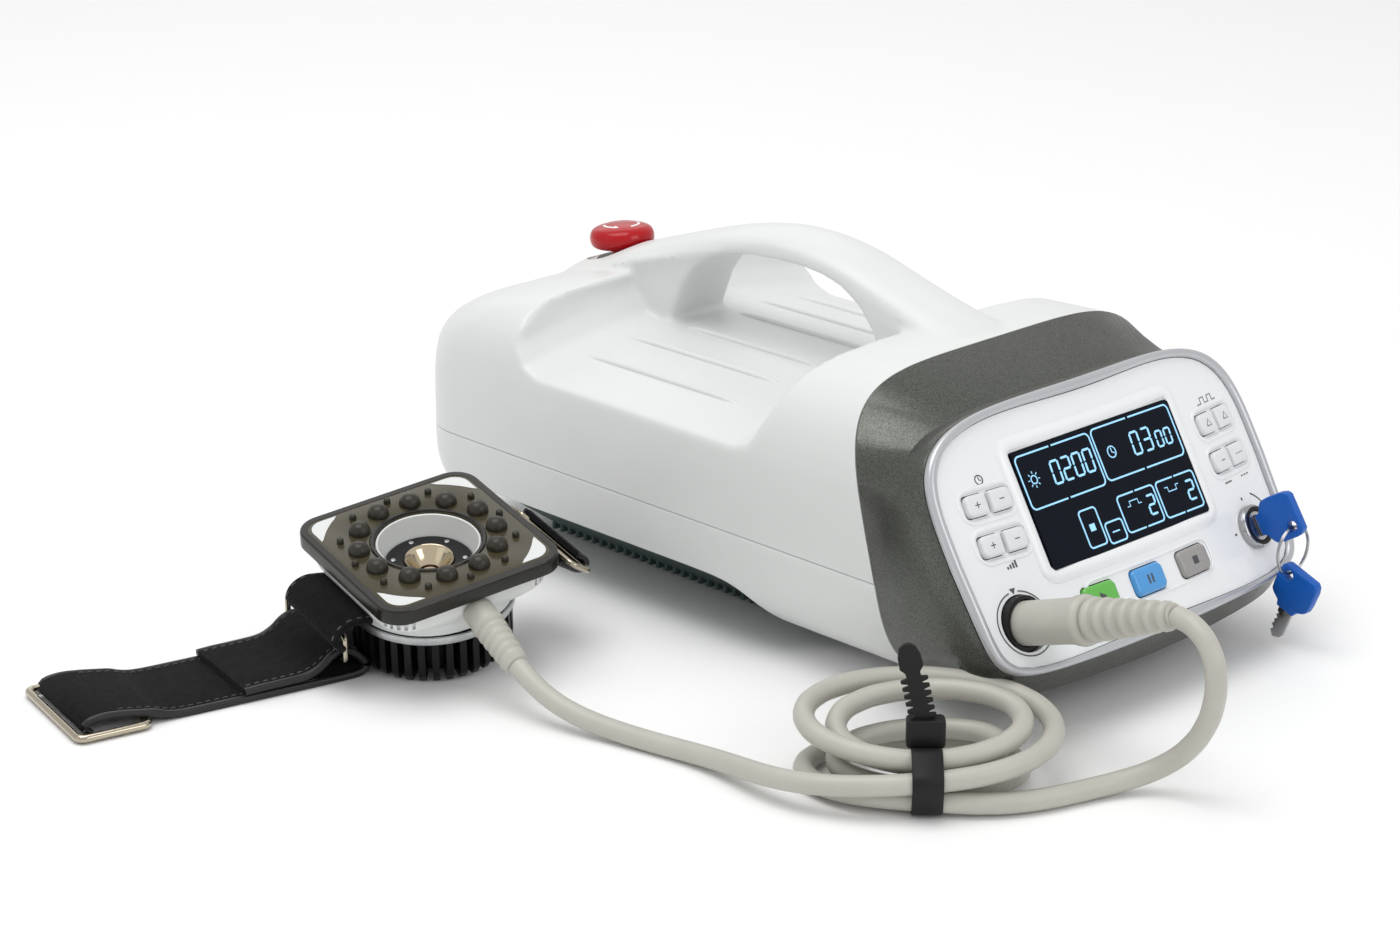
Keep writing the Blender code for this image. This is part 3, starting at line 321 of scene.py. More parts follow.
def swept(path, wide, tall, sides=14, closed=False, up=None):
    """A round or elliptical bar along a path."""
    pts = [Vector(p) for p in path]
    turns = [2 * pi * k / sides for k in range(sides)]
    side = None
    rings = []
    for i, p in enumerate(pts):
        ahead = heading(pts, i, closed)
        if up is not None:
            side = ahead.cross(Vector(up)).normalized()
        elif side is None:
            side = ahead.orthogonal().normalized()
        else:
            side = (side - ahead * side.dot(ahead)).normalized()
        top = side.cross(ahead)
        rings.append([tuple(p + side * (wide * cos(a)) + top * (tall * sin(a))) for a in turns])
    return loft(rings, looped=closed)


def ribbon(line, width, place, low=-0.25, high=0.12, closed=False):
    """A printed or moulded line of a given width; place maps (x, y, height) to a point."""
    pts = [Vector((x, y)) for x, y in line]
    rings = []
    for i, p in enumerate(pts):
        ahead = heading(pts, i, closed)
        across = Vector((-ahead.y, ahead.x)) * (width / 2)
        a, b = p + across, p - across
        rings.append([place(a.x, a.y, high), place(b.x, b.y, high), place(b.x, b.y, low), place(a.x, a.y, low)])
    return loft(rings, looped=closed)


def patch(outline, place, low=-0.25, high=0.12):
    return loft([[place(x, y, low) for x, y in outline], [place(x, y, high) for x, y in outline]])


def above(level):
    """A place for ribbon and patch: a flat face at a level."""
    return lambda x, y, h: (x, y, level + h)


def arc(cx, cy, r, start, end, steps=24):
    return [(cx + r * cos(radians(start + (end - start) * k / steps)),
             cy + r * sin(radians(start + (end - start) * k / steps))) for k in range(steps + 1)]


def shifted(shape, matrix):
    return [tuple(matrix @ Vector(p)) for p in shape[0]], shape[1]


def moved(shape, matrix):
    return [tuple(matrix @ (Vector(p) * MM) / MM) for p in shape[0]], shape[1]


def circled(shape, spots):
    """Copies of an upright shape at (reach, angle) spots round the axis, as one."""
    return merged([([(x + reach * cos(a), y + reach * sin(a), z) for x, y, z in shape[0]], shape[1])
                   for reach, a in spots])


def merged(shapes):
    points, faces = [], []
    for some, more in shapes:
        base = len(points)
        points += [tuple(p) for p in some]
        faces += [tuple(i + base for i in face) for face in more]
    return points, faces


def built(name, points, faces, matrix=None):
    """A mesh object in the row frame with its normals facing out."""
    mesh = bpy.data.meshes.new(name)
    put = CONSOLE if matrix is None else CONSOLE @ matrix
    mesh.from_pydata([tuple(put @ (Vector(p) * MM)) for p in points], [], faces)
    work = bmesh.new()
    work.from_mesh(mesh)
    bmesh.ops.remove_doubles(work, verts=work.verts, dist=1e-7)
    bmesh.ops.recalc_face_normals(work, faces=work.faces)
    work.to_mesh(mesh)
    work.free()
    made = bpy.data.objects.new(name, mesh)
    bpy.context.scene.collection.objects.link(made)
    return made


def settled(made):
    """Applies an object's modifiers to its mesh."""
    graph = bpy.context.evaluated_depsgraph_get()
    mesh = bpy.data.meshes.new_from_object(made.evaluated_get(graph))
    made.modifiers.clear()
    made.data = mesh
    return made


def carved(made, shape, matrix=None, how="DIFFERENCE"):
    tool = built(made.name + "_tool", *shape, matrix)
    step = made.modifiers.new("carve", "BOOLEAN")
    step.operation, step.solver, step.object = how, "EXACT", tool
    settled(made)
    bpy.data.objects.remove(tool, do_unlink=True)
    return made


def rounding(made, width, segments=2, limit=35):
    step = made.modifiers.new("edges", "BEVEL")
    step.width, step.segments = width * MM, segments
    step.limit_method, step.angle_limit = "ANGLE", radians(limit)
    step.use_clamp_overlap = True
    return settled(made)


def ready(made, body, slot, stands_for=(), material=None, angle=35):
    """Shading, the slot's or a named material, the body, and hiding the CAD nodes a finished mesh stands for.
    """
    made.data.shade_smooth()
    made.data.set_sharp_from_angle(angle=radians(angle))
    made.data.materials.clear()
    made.data.materials.append(bpy.data.materials[material] if material else FINISH[slot])
    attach(made, body)
    if stands_for:
        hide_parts(*stands_for)
    return made


def piece(name, shape, body, slot, matrix=None, stands_for=(), material=None, angle=35, edge=0.0):
    made = built(name, *shape, matrix)
    if edge:
        rounding(made, edge)
    return ready(made, body, slot, stands_for, material, angle)


def frame_at(origin, x_axis, y_axis, z_axis):
    turn = Matrix((x_axis, y_axis, z_axis)).transposed().to_4x4()
    turn.translation = Vector(origin) * MM
    return turn


def tilted(origin, out, across=X_AXIS):
    return frame_at(origin, across, out.cross(across), out)


def mm_point(matrix, x, y, z):
    """A point of a local frame, in millimetres of the console's frame."""
    return matrix @ (Vector((x, y, z)) * MM) / MM


# ---------------------------------------------------------------- console outlines
def radius_at(angle, half, up, down, up_power, down_power):
    c, s = abs(cos(angle)), sin(angle)
    tall, power = (up, up_power) if s >= 0 else (down, down_power)
    return ((c / half) ** power + (abs(s) / tall) ** power) ** (-1.0 / power)


def body_radius(angle):
    return radius_at(angle, HALF_WIDTH, TOP - PARTING, PARTING - BOTTOM, 5.0, 3.2)


def panel_radius(angle):
    taper = 1.0 - 0.05 * max(0.0, -sin(angle))
    return radius_at(angle, PANEL_HALF * taper, PANEL_TOP - PANEL_MID, PANEL_MID, 4.0, 9.0)


def half_width(z):
    up = z >= PARTING
    share, power = ((z - PARTING) / (TOP - PARTING), 5.0) if up else ((PARTING - z) / (PARTING - BOTTOM), 3.2)
    return HALF_WIDTH * max(0.0, 1.0 - min(share, 1.0) ** power) ** (1.0 / power)


def seam_y(z):
    return 63.0 + 0.27 * z


def rear_round(z):
    return 33.0 * (max(0.0, z - 76.0) / 57.0) ** 5


def rear_y(z):
    return REAR - 0.9 * (HALF_WIDTH - half_width(z)) - rear_round(z)


def sink_top(y, z):
    return z if z <= PARTING else PARTING + (z - PARTING) * (1.0 - 0.15 * max(0.0, y - 95.0) / 275.0)


def panel_point(u, v, h=0.0):
    y = v * sin(TILT) + 7.0 * (u / 98.0) ** 2 - h * cos(TILT)
    return Vector((u, y, PANEL_BASE + v * cos(TILT) + h * sin(TILT)))


def panel_frame(u, v, h=0.0):
    across = (panel_point(u + 1, v) - panel_point(u - 1, v)).normalized()
    out = across.cross(Vector((0.0, sin(TILT), cos(TILT)))).normalized()
    return frame_at(panel_point(u, v) + out * h, across, out.cross(across), out)


def on_panel(h, grow_down=0.0):
    return lambda u, w: panel_point(u, PANEL_MID + w - grow_down * max(0.0, -w / PANEL_MID) ** 2, h)


def on_seam(x, w):
    return (x, seam_y(PARTING + w), PARTING + w)


def polar_ring(radius, place, inset=0.0, steps=180):
    ring = []
    for k in range(steps):
        a = 2 * pi * k / steps
        r = radius(a) - inset
        ring.append(tuple(place(r * cos(a), r * sin(a))))
    return ring


# ---------------------------------------------------------------- lead
def socket_frame():
    return tilted(panel_point(*SOCKET_AT), Vector((0.0, -cos(SOCKET_RISE), sin(SOCKET_RISE))))


def probe_matrix():
    lean = radians(12.0)
    out = Vector((-0.697 * sin(lean), -0.717 * sin(lean), cos(lean))).normalized()
    side = Vector((cos(-0.165), sin(-0.165), 0.0))
    return tilted((-195.0, 238.5, 55.0), out, (side - out * side.dot(out)).normalized())


def gland_frame():
    return probe_matrix() @ shift(0.0, -38.0, -13.4) @ Matrix.Rotation(radians(108.0), 4, "X")


COIL = shift(-134.6, 15.8, 0.0) @ Matrix.Rotation(radians(-44.2), 4, "Z")
COIL_LINE = (46.0, 28.25)       # half-axes of the bundle's middle line
FAR_RISE = 13.0                 # how much higher the top turn lies on the side away from the tie
TURNS, STRANDS = 4, 5


def coil_point(x, y, z):
    return mm_point(COIL, x, y, z)


def strand(turn):
    """Middle of the lead after some turns: the turns lie round each other like a loose rope."""
    a = -pi / 2 - 2 * pi * turn
    phase = radians(-54.0 - 360.0 / STRANDS * turn)
    near = (1 - sin(a)) / 2
    out = (7.4 + 2.4 * (1 - near) + 1.2 * abs(cos(a))) * cos(phase)
    z = 11.75 + 0.7 * near ** 8 + 7.35 * sin(phase)
    z += FAR_RISE * (1 - near) ** 0.7 * (z - 4.3) / 15.0
    long, short = COIL_LINE
    n = Vector((short * cos(a), long * sin(a))).normalized()
    return coil_point(long * cos(a) + n.x * out, short * sin(a) + n.y * out, z)


def make_lead():
    plug = socket_frame()
    tip = mm_point(plug, 0, 0, 77.6)
    out = plug.to_3x3() @ Z_AXIS
    route = [tip, tip + out * 8.0, (-77.6, -74.6, 73.4), (-79.4, -80.8, 66.5), (-80, -83.6, 57),
             (-79, -82.3, 46), (-77, -77, 33), (-75, -68, 20.5), (-75.5, -58.5, 10.8), (-81, -50.5, 5.8),
             (-91, -44.6, 4.4)]
    route += [coil_point(*p) for p in ((57, -21.5, 4.4), (44.5, -29.0, 4.6), (29, -33.6, 5.0),
                                       (14, -34.4, 5.7))]
    route += [strand(i / 20) for i in range(20 * TURNS + 1)]
    route += [coil_point(*p) for p in ((-15, -36.2, 13.9), (-30, -35.2, 13.2), (-45, -30.8, 12.0),
                                       (-58, -21.5, 10.4), (-67.5, -9, 8.2), (-76, 3.5, 6.0))]
    route += [(-186.9, 85.2, 4.5), (-191, 103, 4.3), (-194.8, 121, 4.5), (-199.5, 139.5, 6.4),
              (-204.2, 157, 11.2), mm_point(gland_frame(), 0, 0, 33.2)]
    points = even(curved(route, 8), 158)
    for _ in range(5):
        soft = [p * 0.5 + (a + b) * 0.25 for a, p, b in zip(points, points[1:], points[2:])]
        points = [points[0]] + soft + [points[-1]]
        points = [Vector((p.x, p.y, max(p.z, LEAD / 2 + 0.03))) for p in points]
    points = even(curved(points, 6), 108)
    curve = bpy.data.curves.new("lead", "CURVE")
    curve.dimensions = "3D"
    curve.bevel_depth = LEAD / 2 * MM
    curve.bevel_resolution = 5
    curve.resolution_u = 5
    curve.use_fill_caps = True
    spline = curve.splines.new("BEZIER")
    spline.bezier_points.add(len(points) - 1)
    for knot, p in zip(spline.bezier_points, points):
        knot.co = CONSOLE @ (p * MM)
        knot.handle_left_type = knot.handle_right_type = "AUTO"
    made = bpy.data.objects.new("lead", curve)
    bpy.context.scene.collection.objects.link(made)
    curve.materials.append(FINISH["lead_grey"])
    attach(made, BODY)
    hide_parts("lead_front", "lead_coil", "lead_rear")
    fine = curved(points, 8)
    length = sum((b - a).length for a, b in zip(fine, fine[1:])) * MM
    return made, length, CONSOLE @ (tip * MM)


def make_plug():
    """Plug in the panel: plain grip, lip, then a ribbed taper down to the lead."""
    profile = [(7.0, -12.0), (8.9, -11.0), (9.0, 5.0), (9.1, 22.0), (9.3, 27.0), (10.0, 29.5), (10.3, 31.5),
               (10.1, 33.2), (9.2, 34.2), (8.4, 34.8)]
    for k in range(7):
        low, r = 35.0 + 5.9 * k, 8.9 - 0.5 * k
        profile += [(r - 1.5, low), (r - 0.3, low + 0.8), (r + 0.15, low + 2.2), (r - 0.1, low + 3.8),
                    (r - 0.9, low + 4.6), (r - 1.7, low + 5.1)]
    profile += [(5.0, 76.6), (4.5, 77.2)]
    return piece("plug_sleeve", lathe(profile), BODY, "lead_grey", socket_frame(), ["probe_plug"], angle=60)


def make_relief():
    profile = [(6.2, 0.4), (6.6, 1.2), (6.6, 7.2), (7.0, 9.0), (7.0, 10.4), (6.3, 11.4)]
    for k in range(5):
        low, r = 12.0 + 3.9 * k, 6.7 - 0.18 * k
        profile += [(r - 0.7, low), (r, low + 1.0), (r, low + 2.4), (r - 0.7, low + 3.3)]
    profile += [(5.2, 32.0), (4.6, 33.0)]
    return piece("gland_sleeve", lathe(profile), BODY, "lead_grey", gland_frame(), ["probe_strain_relief"],
                 angle=60)


def make_tie():
    """Toothed tie: a band round the bundle, a block on top and an upright tail with barbs on both edges."""
    put = COIL @ shift(0, -COIL_LINE[1], 0) @ Matrix.Rotation(-pi / 2, 4, "Z")
    centre = 12.45

    def hull(grow):
        outline = []
        for k in range(STRANDS):
            phase = -54.0 + 72.0 * k
            x, z = 7.4 * cos(radians(phase)), centre + 7.35 * sin(radians(phase))
            for d in range(-36, 37, 12):
                a = radians(phase + d)
                outline.append((x + grow * cos(a), z + grow * sin(a)))
        return outline
    rings = [[(x, y, z) for x, z in hull(g)] for g, y in ((4.35, -5.2), (5.3, -6.0), (5.7, -5.4), (5.7, 5.4),
                                                          (5.3, 6.0), (4.35, 5.2))]
    made = built("toothed_tie", *loft(rings, looped=True), put)
    block = shifted(slab(rounded(8.4, 15.0, 2.0), 23.6, 35.0), Matrix.Translation((-8.2, 0, 0)))
    head = built("tie_block", *block, put)
    rounding(head, 1.2, 3)
    edge, z = [(3.6, -4.0), (3.6, 3.0)], 4.4
    while z < 22.0:
        edge += [(2.7, z), (5.3, z + 0.7), (5.3, z + 1.7), (2.7, z + 2.2)]
        z += 3.1
    edge += [(2.9, 24.4), (4.6, 26.4), (4.4, 31.0), (3.2, 34.6), (1.2, 36.2)]
    outline = edge + [(-y, z) for y, z in reversed(edge)]
    tail = loft([[(x, y, z) for y, z in outline] for x in (-1.1, 1.1)])
    lean = put @ shift(-8.2, 0, 30.0) @ Matrix.Rotation(radians(13), 4, "X")
    strip = built("tie_tail", *tail, lean)
    rounding(strip, 0.25, 1)
    ready(made, BODY, "rubber_black", ["cable_tie"])
    for extra in (head, strip):
        ready(extra, BODY, "rubber_black")
    return [made, head, strip]


# ---------------------------------------------------------------- housings
def rear_corners(half, rear, corner, steps):
    points = []
    for side, start in ((1, 0.0), (-1, pi / 2)):
        for k in range(steps):
            a = start + pi / 2 * k / (steps - 1)
            points.append((side * (half - corner) + corner * cos(a), rear - corner + corner * sin(a)))
    return points


def plan_ring(half, front, rear, corner):
    corner = max(0.3, min(corner, half - 0.2))
    sides = [front + (rear - corner - front) * k / 16 for k in range(16)]
    return ([(half, y) for y in sides] + rear_corners(half, rear, corner, 12)
            + [(-half, y) for y in reversed(sides)])


def upper_skin(inset, foot, front_by):
    rings = []
    for up in (0, 8, 16, 22, 27, 31, 34, 36.5, 38.5, 40.5, 43, 46, 50, 56, 64, 72, 80, 85, 88.6):
        a = radians(up)
        r = body_radius(a) - inset
        z = foot if up == 0 else PARTING + r * sin(a)
        half = r * cos(a)
        rear = REAR - inset - 0.9 * (HALF_WIDTH - inset - half) - rear_round(z + inset)
        plan = plan_ring(half, seam_y(z) + front_by, rear, REAR_CORNER - inset)
        rings.append([(x, y, sink_top(y, z)) for x, y in plan])
    return loft(rings)


def recess_floor(x):
    return 103.0 - 11.0 * min(1.2, (x / 94.0) ** 2)


def recess_shape(grow):
    rings = []
    for k in range(33):
        x = -112.0 + 7.0 * k
        floor = recess_floor(x) - grow
        side = [(126, 176), (135, 129), (138.5, 118), (144, 107), (151, floor + 3 + grow * 0.4),
                (160, floor), (283, floor), (292, floor + 3 + grow * 0.4), (298.5, floor + 11),
                (301, 118), (298.5, 130), (296, 176)]
        rings.append([(x, y + (grow if y > 218 else -grow), z) for y, z in side])
    return loft(rings)


def handle_half(y):
    return 17.0 + 6.0 * max(0.0, 1.0 - (y - 92.0) / 55.0) ** 2 + 12.0 * max(0.0, (y - 290.0) / 75.0) ** 1.3


def handle_shape():
    ridge = [(104, 127), (104, 132.5), (115, 136.5), (134, 141.7), (155, 147.6), (175, 153.2), (193, 156.2),
             (210, 157), (226, 155.8), (249, 151.2), (278, 142.4), (319, 128.6), (340, 120.6), (350, 114)]
    under = [(352, 101), (330, 96), (282, 96), (276, 110), (271, 122), (264, 131), (254, 137.5), (242, 141.5),
             (228, 144), (212, 145), (196, 145), (185, 143.8), (174, 141), (163, 134.5), (155, 125.5),
             (150, 114), (148, 96), (104, 96)]
    ridge = [ridge[0]] + curved_line(ridge[1:], 4)
    rings = []
    for k in range(-8, 9):
        s = k / 8
        side = [(y, z - 4.0 * s * s - 1.6 * s ** 8) for y, z in ridge]
        side += [(y, z + 0.9 * s ** 6) for y, z in under]
        rings.append([(s * handle_half(y), y, z) for y, z in side])
    return loft(rings)


def halved(made, point, normal):
    """Cuts a closed mesh by a plane, keeps the side away from the normal and closes it."""
    work = bmesh.new()
    work.from_mesh(made.data)
    parts = work.verts[:] + work.edges[:] + work.faces[:]
    bmesh.ops.bisect_plane(work, geom=parts, plane_co=CONSOLE @ (Vector(point) * MM), plane_no=Vector(normal),
                           clear_outer=True)
    rim = [e for e in work.edges if e.is_boundary]
    bmesh.ops.triangle_fill(work, edges=rim, use_beauty=True)
    bmesh.ops.recalc_face_normals(work, faces=work.faces)
    work.to_mesh(made.data)
    work.free()


def stop_frame():
    return tilted((0.0, 328.0, 121.5), Vector((0.0, sin(radians(5)), cos(radians(5)))))


INLET = frame_at((10.0, REAR, 70.0), Vector((-1, 0, 0)), Vector((0, 0, 1)), Vector((0, 1, 0)))


def make_upper_housing():
    made = built("upper_shell", *upper_skin(0.0, PARTING - 9.0, -11.0))
    carved(made, recess_shape(0.0))
    carved(made, handle_shape(), how="UNION")
    remesh = made.modifiers.new("remesh", "REMESH")
    remesh.mode, remesh.voxel_size = "VOXEL", 1.5 * MM
    smooth = made.modifiers.new("smooth", "SMOOTH")
    smooth.factor, smooth.iterations = 0.5, 9
    settled(made)
    halved(made, (0, 0, PARTING + 0.2), (0, 0, -1))
    halved(made, (0, 63.45, 0), (0, -1, 0.27))
    well = lathe([(8.4, -40), (8.4, -2.65), (16.6, -2.65), (17.0, -2.2), (17.4, 0.5), (18.2, 20)], 64)
    carved(made, well, stop_frame())
    carved(made, slab(rounded(48.6, 27.6, 2), -12, 12), INLET)
    hollow = built("hollow", *upper_skin(3.4, PARTING - 2.0, -4.0))
    carved(hollow, recess_shape(3.4))
    carved(hollow, lathe([(22, -8), (22, 20)], 40), stop_frame())
    step = made.modifiers.new("hollow", "BOOLEAN")
    step.operation, step.solver, step.object = "DIFFERENCE", "EXACT", hollow
    settled(made)
    bpy.data.objects.remove(hollow, do_unlink=True)
    ready(made, BODY, "shell_white", ["upper_housing"], angle=40)
    ribs = []
    for x, last in ((-66, 281), (-41, 281), (-16, 269), (16, 269), (41, 281), (66, 281)):
        half = (last - RIB_START) / 2
        path = [(x, y, recess_floor(x) - 2.1 + 2.2 * (1 - abs((y - RIB_START - half) / half) ** 8))
                for y in range(RIB_START, last + 1, 3)]
        ribs.append(swept(path, 1.7, 1.6, 12, up=(0, 0, 1)))
    piece("recess_ribs", merged(ribs), BODY, "shell_white")


def lower_edge(y):
    return 30.0 - 24.5 / (1.0 + exp((y - 147.0) / 6.5))


def make_lower_housing():
    stops = [*range(92, 120, 5), *(119 + 2.2 * k for k in range(28)), *range(186, 330, 12)]

    def path(half, front, rear, corner):
        return ([(half, front)] + [(half, y) for y in stops] + rear_corners(half, rear, corner, 14)
                + [(-half, y) for y in reversed(stops)] + [(-half, front)])
    shares = [k / 14 for k in range(15)]
    top = PARTING - 0.15
    guide = path(90, 70, 360, 30)
    sections = []
    for i, (_, y_here) in enumerate(guide):
        section = []
        for inset in (0.0, WALL):
            for share in (shares if inset == 0 else reversed(shares)):
                z = top - (top - lower_edge(y_here)) * share
                x, y = path(half_width(z) - inset, seam_y(z) + 0.35, rear_y(z) - inset, REAR_CORNER - inset)[i]
                section.append((x, y, z))
        sections.append(section)
    piece("lower_shell", loft(sections), BODY, "shell_white", stands_for=["lower_housing"], edge=0.45)


def make_front():
    band = [polar_ring(panel_radius, on_panel(-1.6)),
            polar_ring(lambda a: panel_radius(a) + 1.1, on_panel(-6.0, 1.4)),
            polar_ring(lambda a: panel_radius(a) + 2.0, on_panel(-13.0, 5.0)),
            polar_ring(body_radius, on_seam),
            polar_ring(body_radius, on_seam, WALL),
            polar_ring(lambda a: panel_radius(a) - 1.0, on_panel(-13.0, 5.0)),
            polar_ring(panel_radius, on_panel(-1.6), WALL)]
    piece("metallic_band", loft(band, looped=True), BODY, "band_grey", stands_for=["front_band"], edge=0.4,
          angle=24)
    section = ((0.3, -1.2), (0.0, 0.2), (0.05, 1.0), (0.5, 1.8), (1.4, 2.3), (2.4, 2.35), (3.4, 2.0),
               (4.2, 1.4), (4.5, 0.8), (4.45, -1.2))
    rim = [polar_ring(panel_radius, on_panel(h), i, 400) for i, h in section]
    piece("silver_rim", loft(rim, looped=True), BODY, "rim_silver", stands_for=["bezel_rim"], angle=75)

    shares = (0.03, 0.2, 0.4, 0.6, 0.8, 0.92, 1.0)
    skins = []
    for h in (0.0, -2.5):
        skins.append([polar_ring(lambda a: (panel_radius(a) - 4.8) * s, on_panel(h), steps=120)
                      for s in shares])
    panel = built("glossy_panel", *loft(skins[0] + skins[1][::-1]))
    grow = 2.6
    pocket = loft([[(x, y, -0.7) for x, y in rounded(25.6, 10.6, 3.4)],
                   [(x, y, 0.7) for x, y in rounded(25.6 + grow, 10.6 + grow, 3.4 + grow / 2)]])
    first = [moved(pocket, panel_frame(u, v)) for u, v in KEY_PAIRS]
    first.append(moved(slab(rounded(100.8, 50.8, 1.2), -9, 9), panel_frame(*DISPLAY_AT)))
    carved(panel, merged(first))
    key_hole, button_hole = slab(rounded(11.9, 9.7, 2), -6, 6), slab(rounded(19.8, 12.2, 2.6), -6, 6)
    second = [moved(key_hole, panel_frame(u, v)) for u in KEY_COLUMNS for v in KEY_ROWS]
    second += [moved(button_hole, panel_frame(u, BUTTON_ROW)) for u in BUTTON_COLUMNS]
    second.append(moved(lathe([(11.6, -20), (11.6, 20)], 64), socket_frame()))
    second.append(moved(lathe([(8.6, -9), (8.6, 9)], 64), panel_frame(*LOCK_AT)))
    carved(panel, merged(second))
    ready(panel, BODY, "panel_white", ["front_panel"], angle=20)

    def on(u, v, h):
        return tuple(panel_point(u, v, h))

    def ridge(centre, size, corner, section):
        rings = []
        for grow, _ in section:
            outline = rounded(size[0] + 2 * grow, size[1] + 2 * grow, max(0.4, corner + grow), 10)
            line = []
            for i, (x, y) in enumerate(outline):
                nx, ny = outline[(i + 1) % len(outline)]
                far = max(1, int(hypot(nx - x, ny - y) / 4))
                line += [(x + (nx - x) * k / far, y + (ny - y) * k / far) for k in range(far)]
            rings.append(line)
        count = max(len(r) for r in rings)
        rings = [[on(centre[0] + p.x, centre[1] + p.y, h)
                  for p in even([Vector(q) for q in line + line[:1]], count)[:-1]]
                 for line, (_, h) in zip(rings, section)]
        return loft(rings, looped=True)
    frame_section = ((0.15, -1.0), (0.2, 0.25), (0.9, 0.8), (2.2, 1.15), (3.6, 1.1), (4.9, 0.65), (5.9, 0.1),
                     (6.1, -0.6))
    button_section = ((-0.9, -0.4), (-0.6, 0.35), (0.0, 0.6), (0.6, 0.35), (0.9, -0.4))
    lip_section = ((0.2, -0.4), (0.3, 0.15), (0.9, 0.42), (1.6, 0.3), (2.2, -0.3))
    piece("display_frame", ridge(DISPLAY_AT, (100.8, 50.8), 1.4, frame_section), BODY, "panel_white")
    piece("button_frame", ridge((-0.2, 22.1), (79.0, 14.6), 5.5, button_section), BODY, "panel_white")
    lips = [ridge(at, (27.0, 12.0), 4.6, lip_section) for at in KEY_PAIRS]
    piece("key_pair_lips", merged(lips), BODY, "panel_white")

    steps = [(68.4, 80.2), (71.0, 80.2), (71.0, 82.8), (73.8, 82.8), (73.8, 80.2), (76.6, 80.2), (76.6, 82.8),
             (79.4, 82.8), (79.4, 80.2), (82.0, 80.2)]
    marks = [ribbon(arc(*SOCKET_AT, 13.3, 100, 440, 72), 0.5, on),
             patch([(-77.0, 36.4), (-74.0, 36.4), (-75.5, 34.0)][::-1], on),
             ribbon(arc(*LOCK_AT, 15.3, 28, 62, 16), 0.6, on),
             ribbon(arc(-71.1, 81.4, 1.9, 0, 360, 32)[:-1], 0.45, on, closed=True),
             ribbon([(-71.1, 82.8), (-71.1, 81.4), (-70.0, 81.0)], 0.4, on),
             ribbon(steps, 0.45, on),
             ribbon([(66.6, 45.2), (71.4, 45.2)], 0.55, on)]
    marks += [ribbon([(-73.4 + 1.5 * k, 43.9), (-73.4 + 1.5 * k, 45.0 + 0.6 * k)], 0.8, on) for k in range(4)]
    marks += [ribbon([(79.2 + 2.1 * k, 45.2), (80.4 + 2.1 * k, 45.2)], 0.55, on) for k in range(3)]
    marks += [ribbon(arc(*LOCK_AT, 13.0, a - 2, a + 2, 3), 1.2, on) for a in (90, 178)]
    piece("panel_marks", merged(marks), BODY, "black_plastic", material="print_dark")


# ---------------------------------------------------------------- display and keys
SEGMENTS = {"0": "abcdef", "2": "abged", "3": "abgcd"}


def digit(char, x, y, w, h, t=0.95):
    """Seven-segment digit with pointed segments, leaning a little; x, y is its lower left corner."""
    ends = {"a": ((0, 2), (1, 2)), "b": ((1, 2), (1, 1)), "c": ((1, 1), (1, 0)), "d": ((0, 0), (1, 0)),
            "e": ((0, 0), (0, 1)), "f": ((0, 1), (0, 2)), "g": ((0, 1), (1, 1))}
    shapes = []
    for name in SEGMENTS[char]:
        (ax, ay), (bx, by) = ends[name]
        a, b = Vector((x + ax * w, y + ay * h / 2)), Vector((x + bx * w, y + by * h / 2))
        ahead = (b - a).normalized()
        a, b = a + ahead * 0.12, b - ahead * 0.12
        n = Vector((-ahead.y, ahead.x)) * (t / 2)
        k = ahead * (t / 2)
        outline = [a, a + k + n, b - k + n, b, b - k - n, a + k - n]
        shapes.append([(p.x + 0.05 * (p.y - y), p.y) for p in outline])
    return shapes


def box_lines(x0, y0, x1, y1, r, gap, at):
    """A rounded box as one closed line, or as two halves with a gap on each side of x = at."""
    mx, my = (x0 + x1) / 2, (y0 + y1) / 2
    outline = [(x + mx, y + my) for x, y in rounded(x1 - x0, y1 - y0, r, 6)]
    if not gap:
        return [(outline, True)]
    lines = []
    for side in (1, -1):
        half = [p for p in outline if side * (p[0] - mx) > 0]
        half.sort(key=lambda p: (p[1] < my, side * p[0] if p[1] > my else -side * p[0]))
        lines.append(([(at + side * gap, y1)] + half + [(at + side * gap, y0)], False))
    return lines


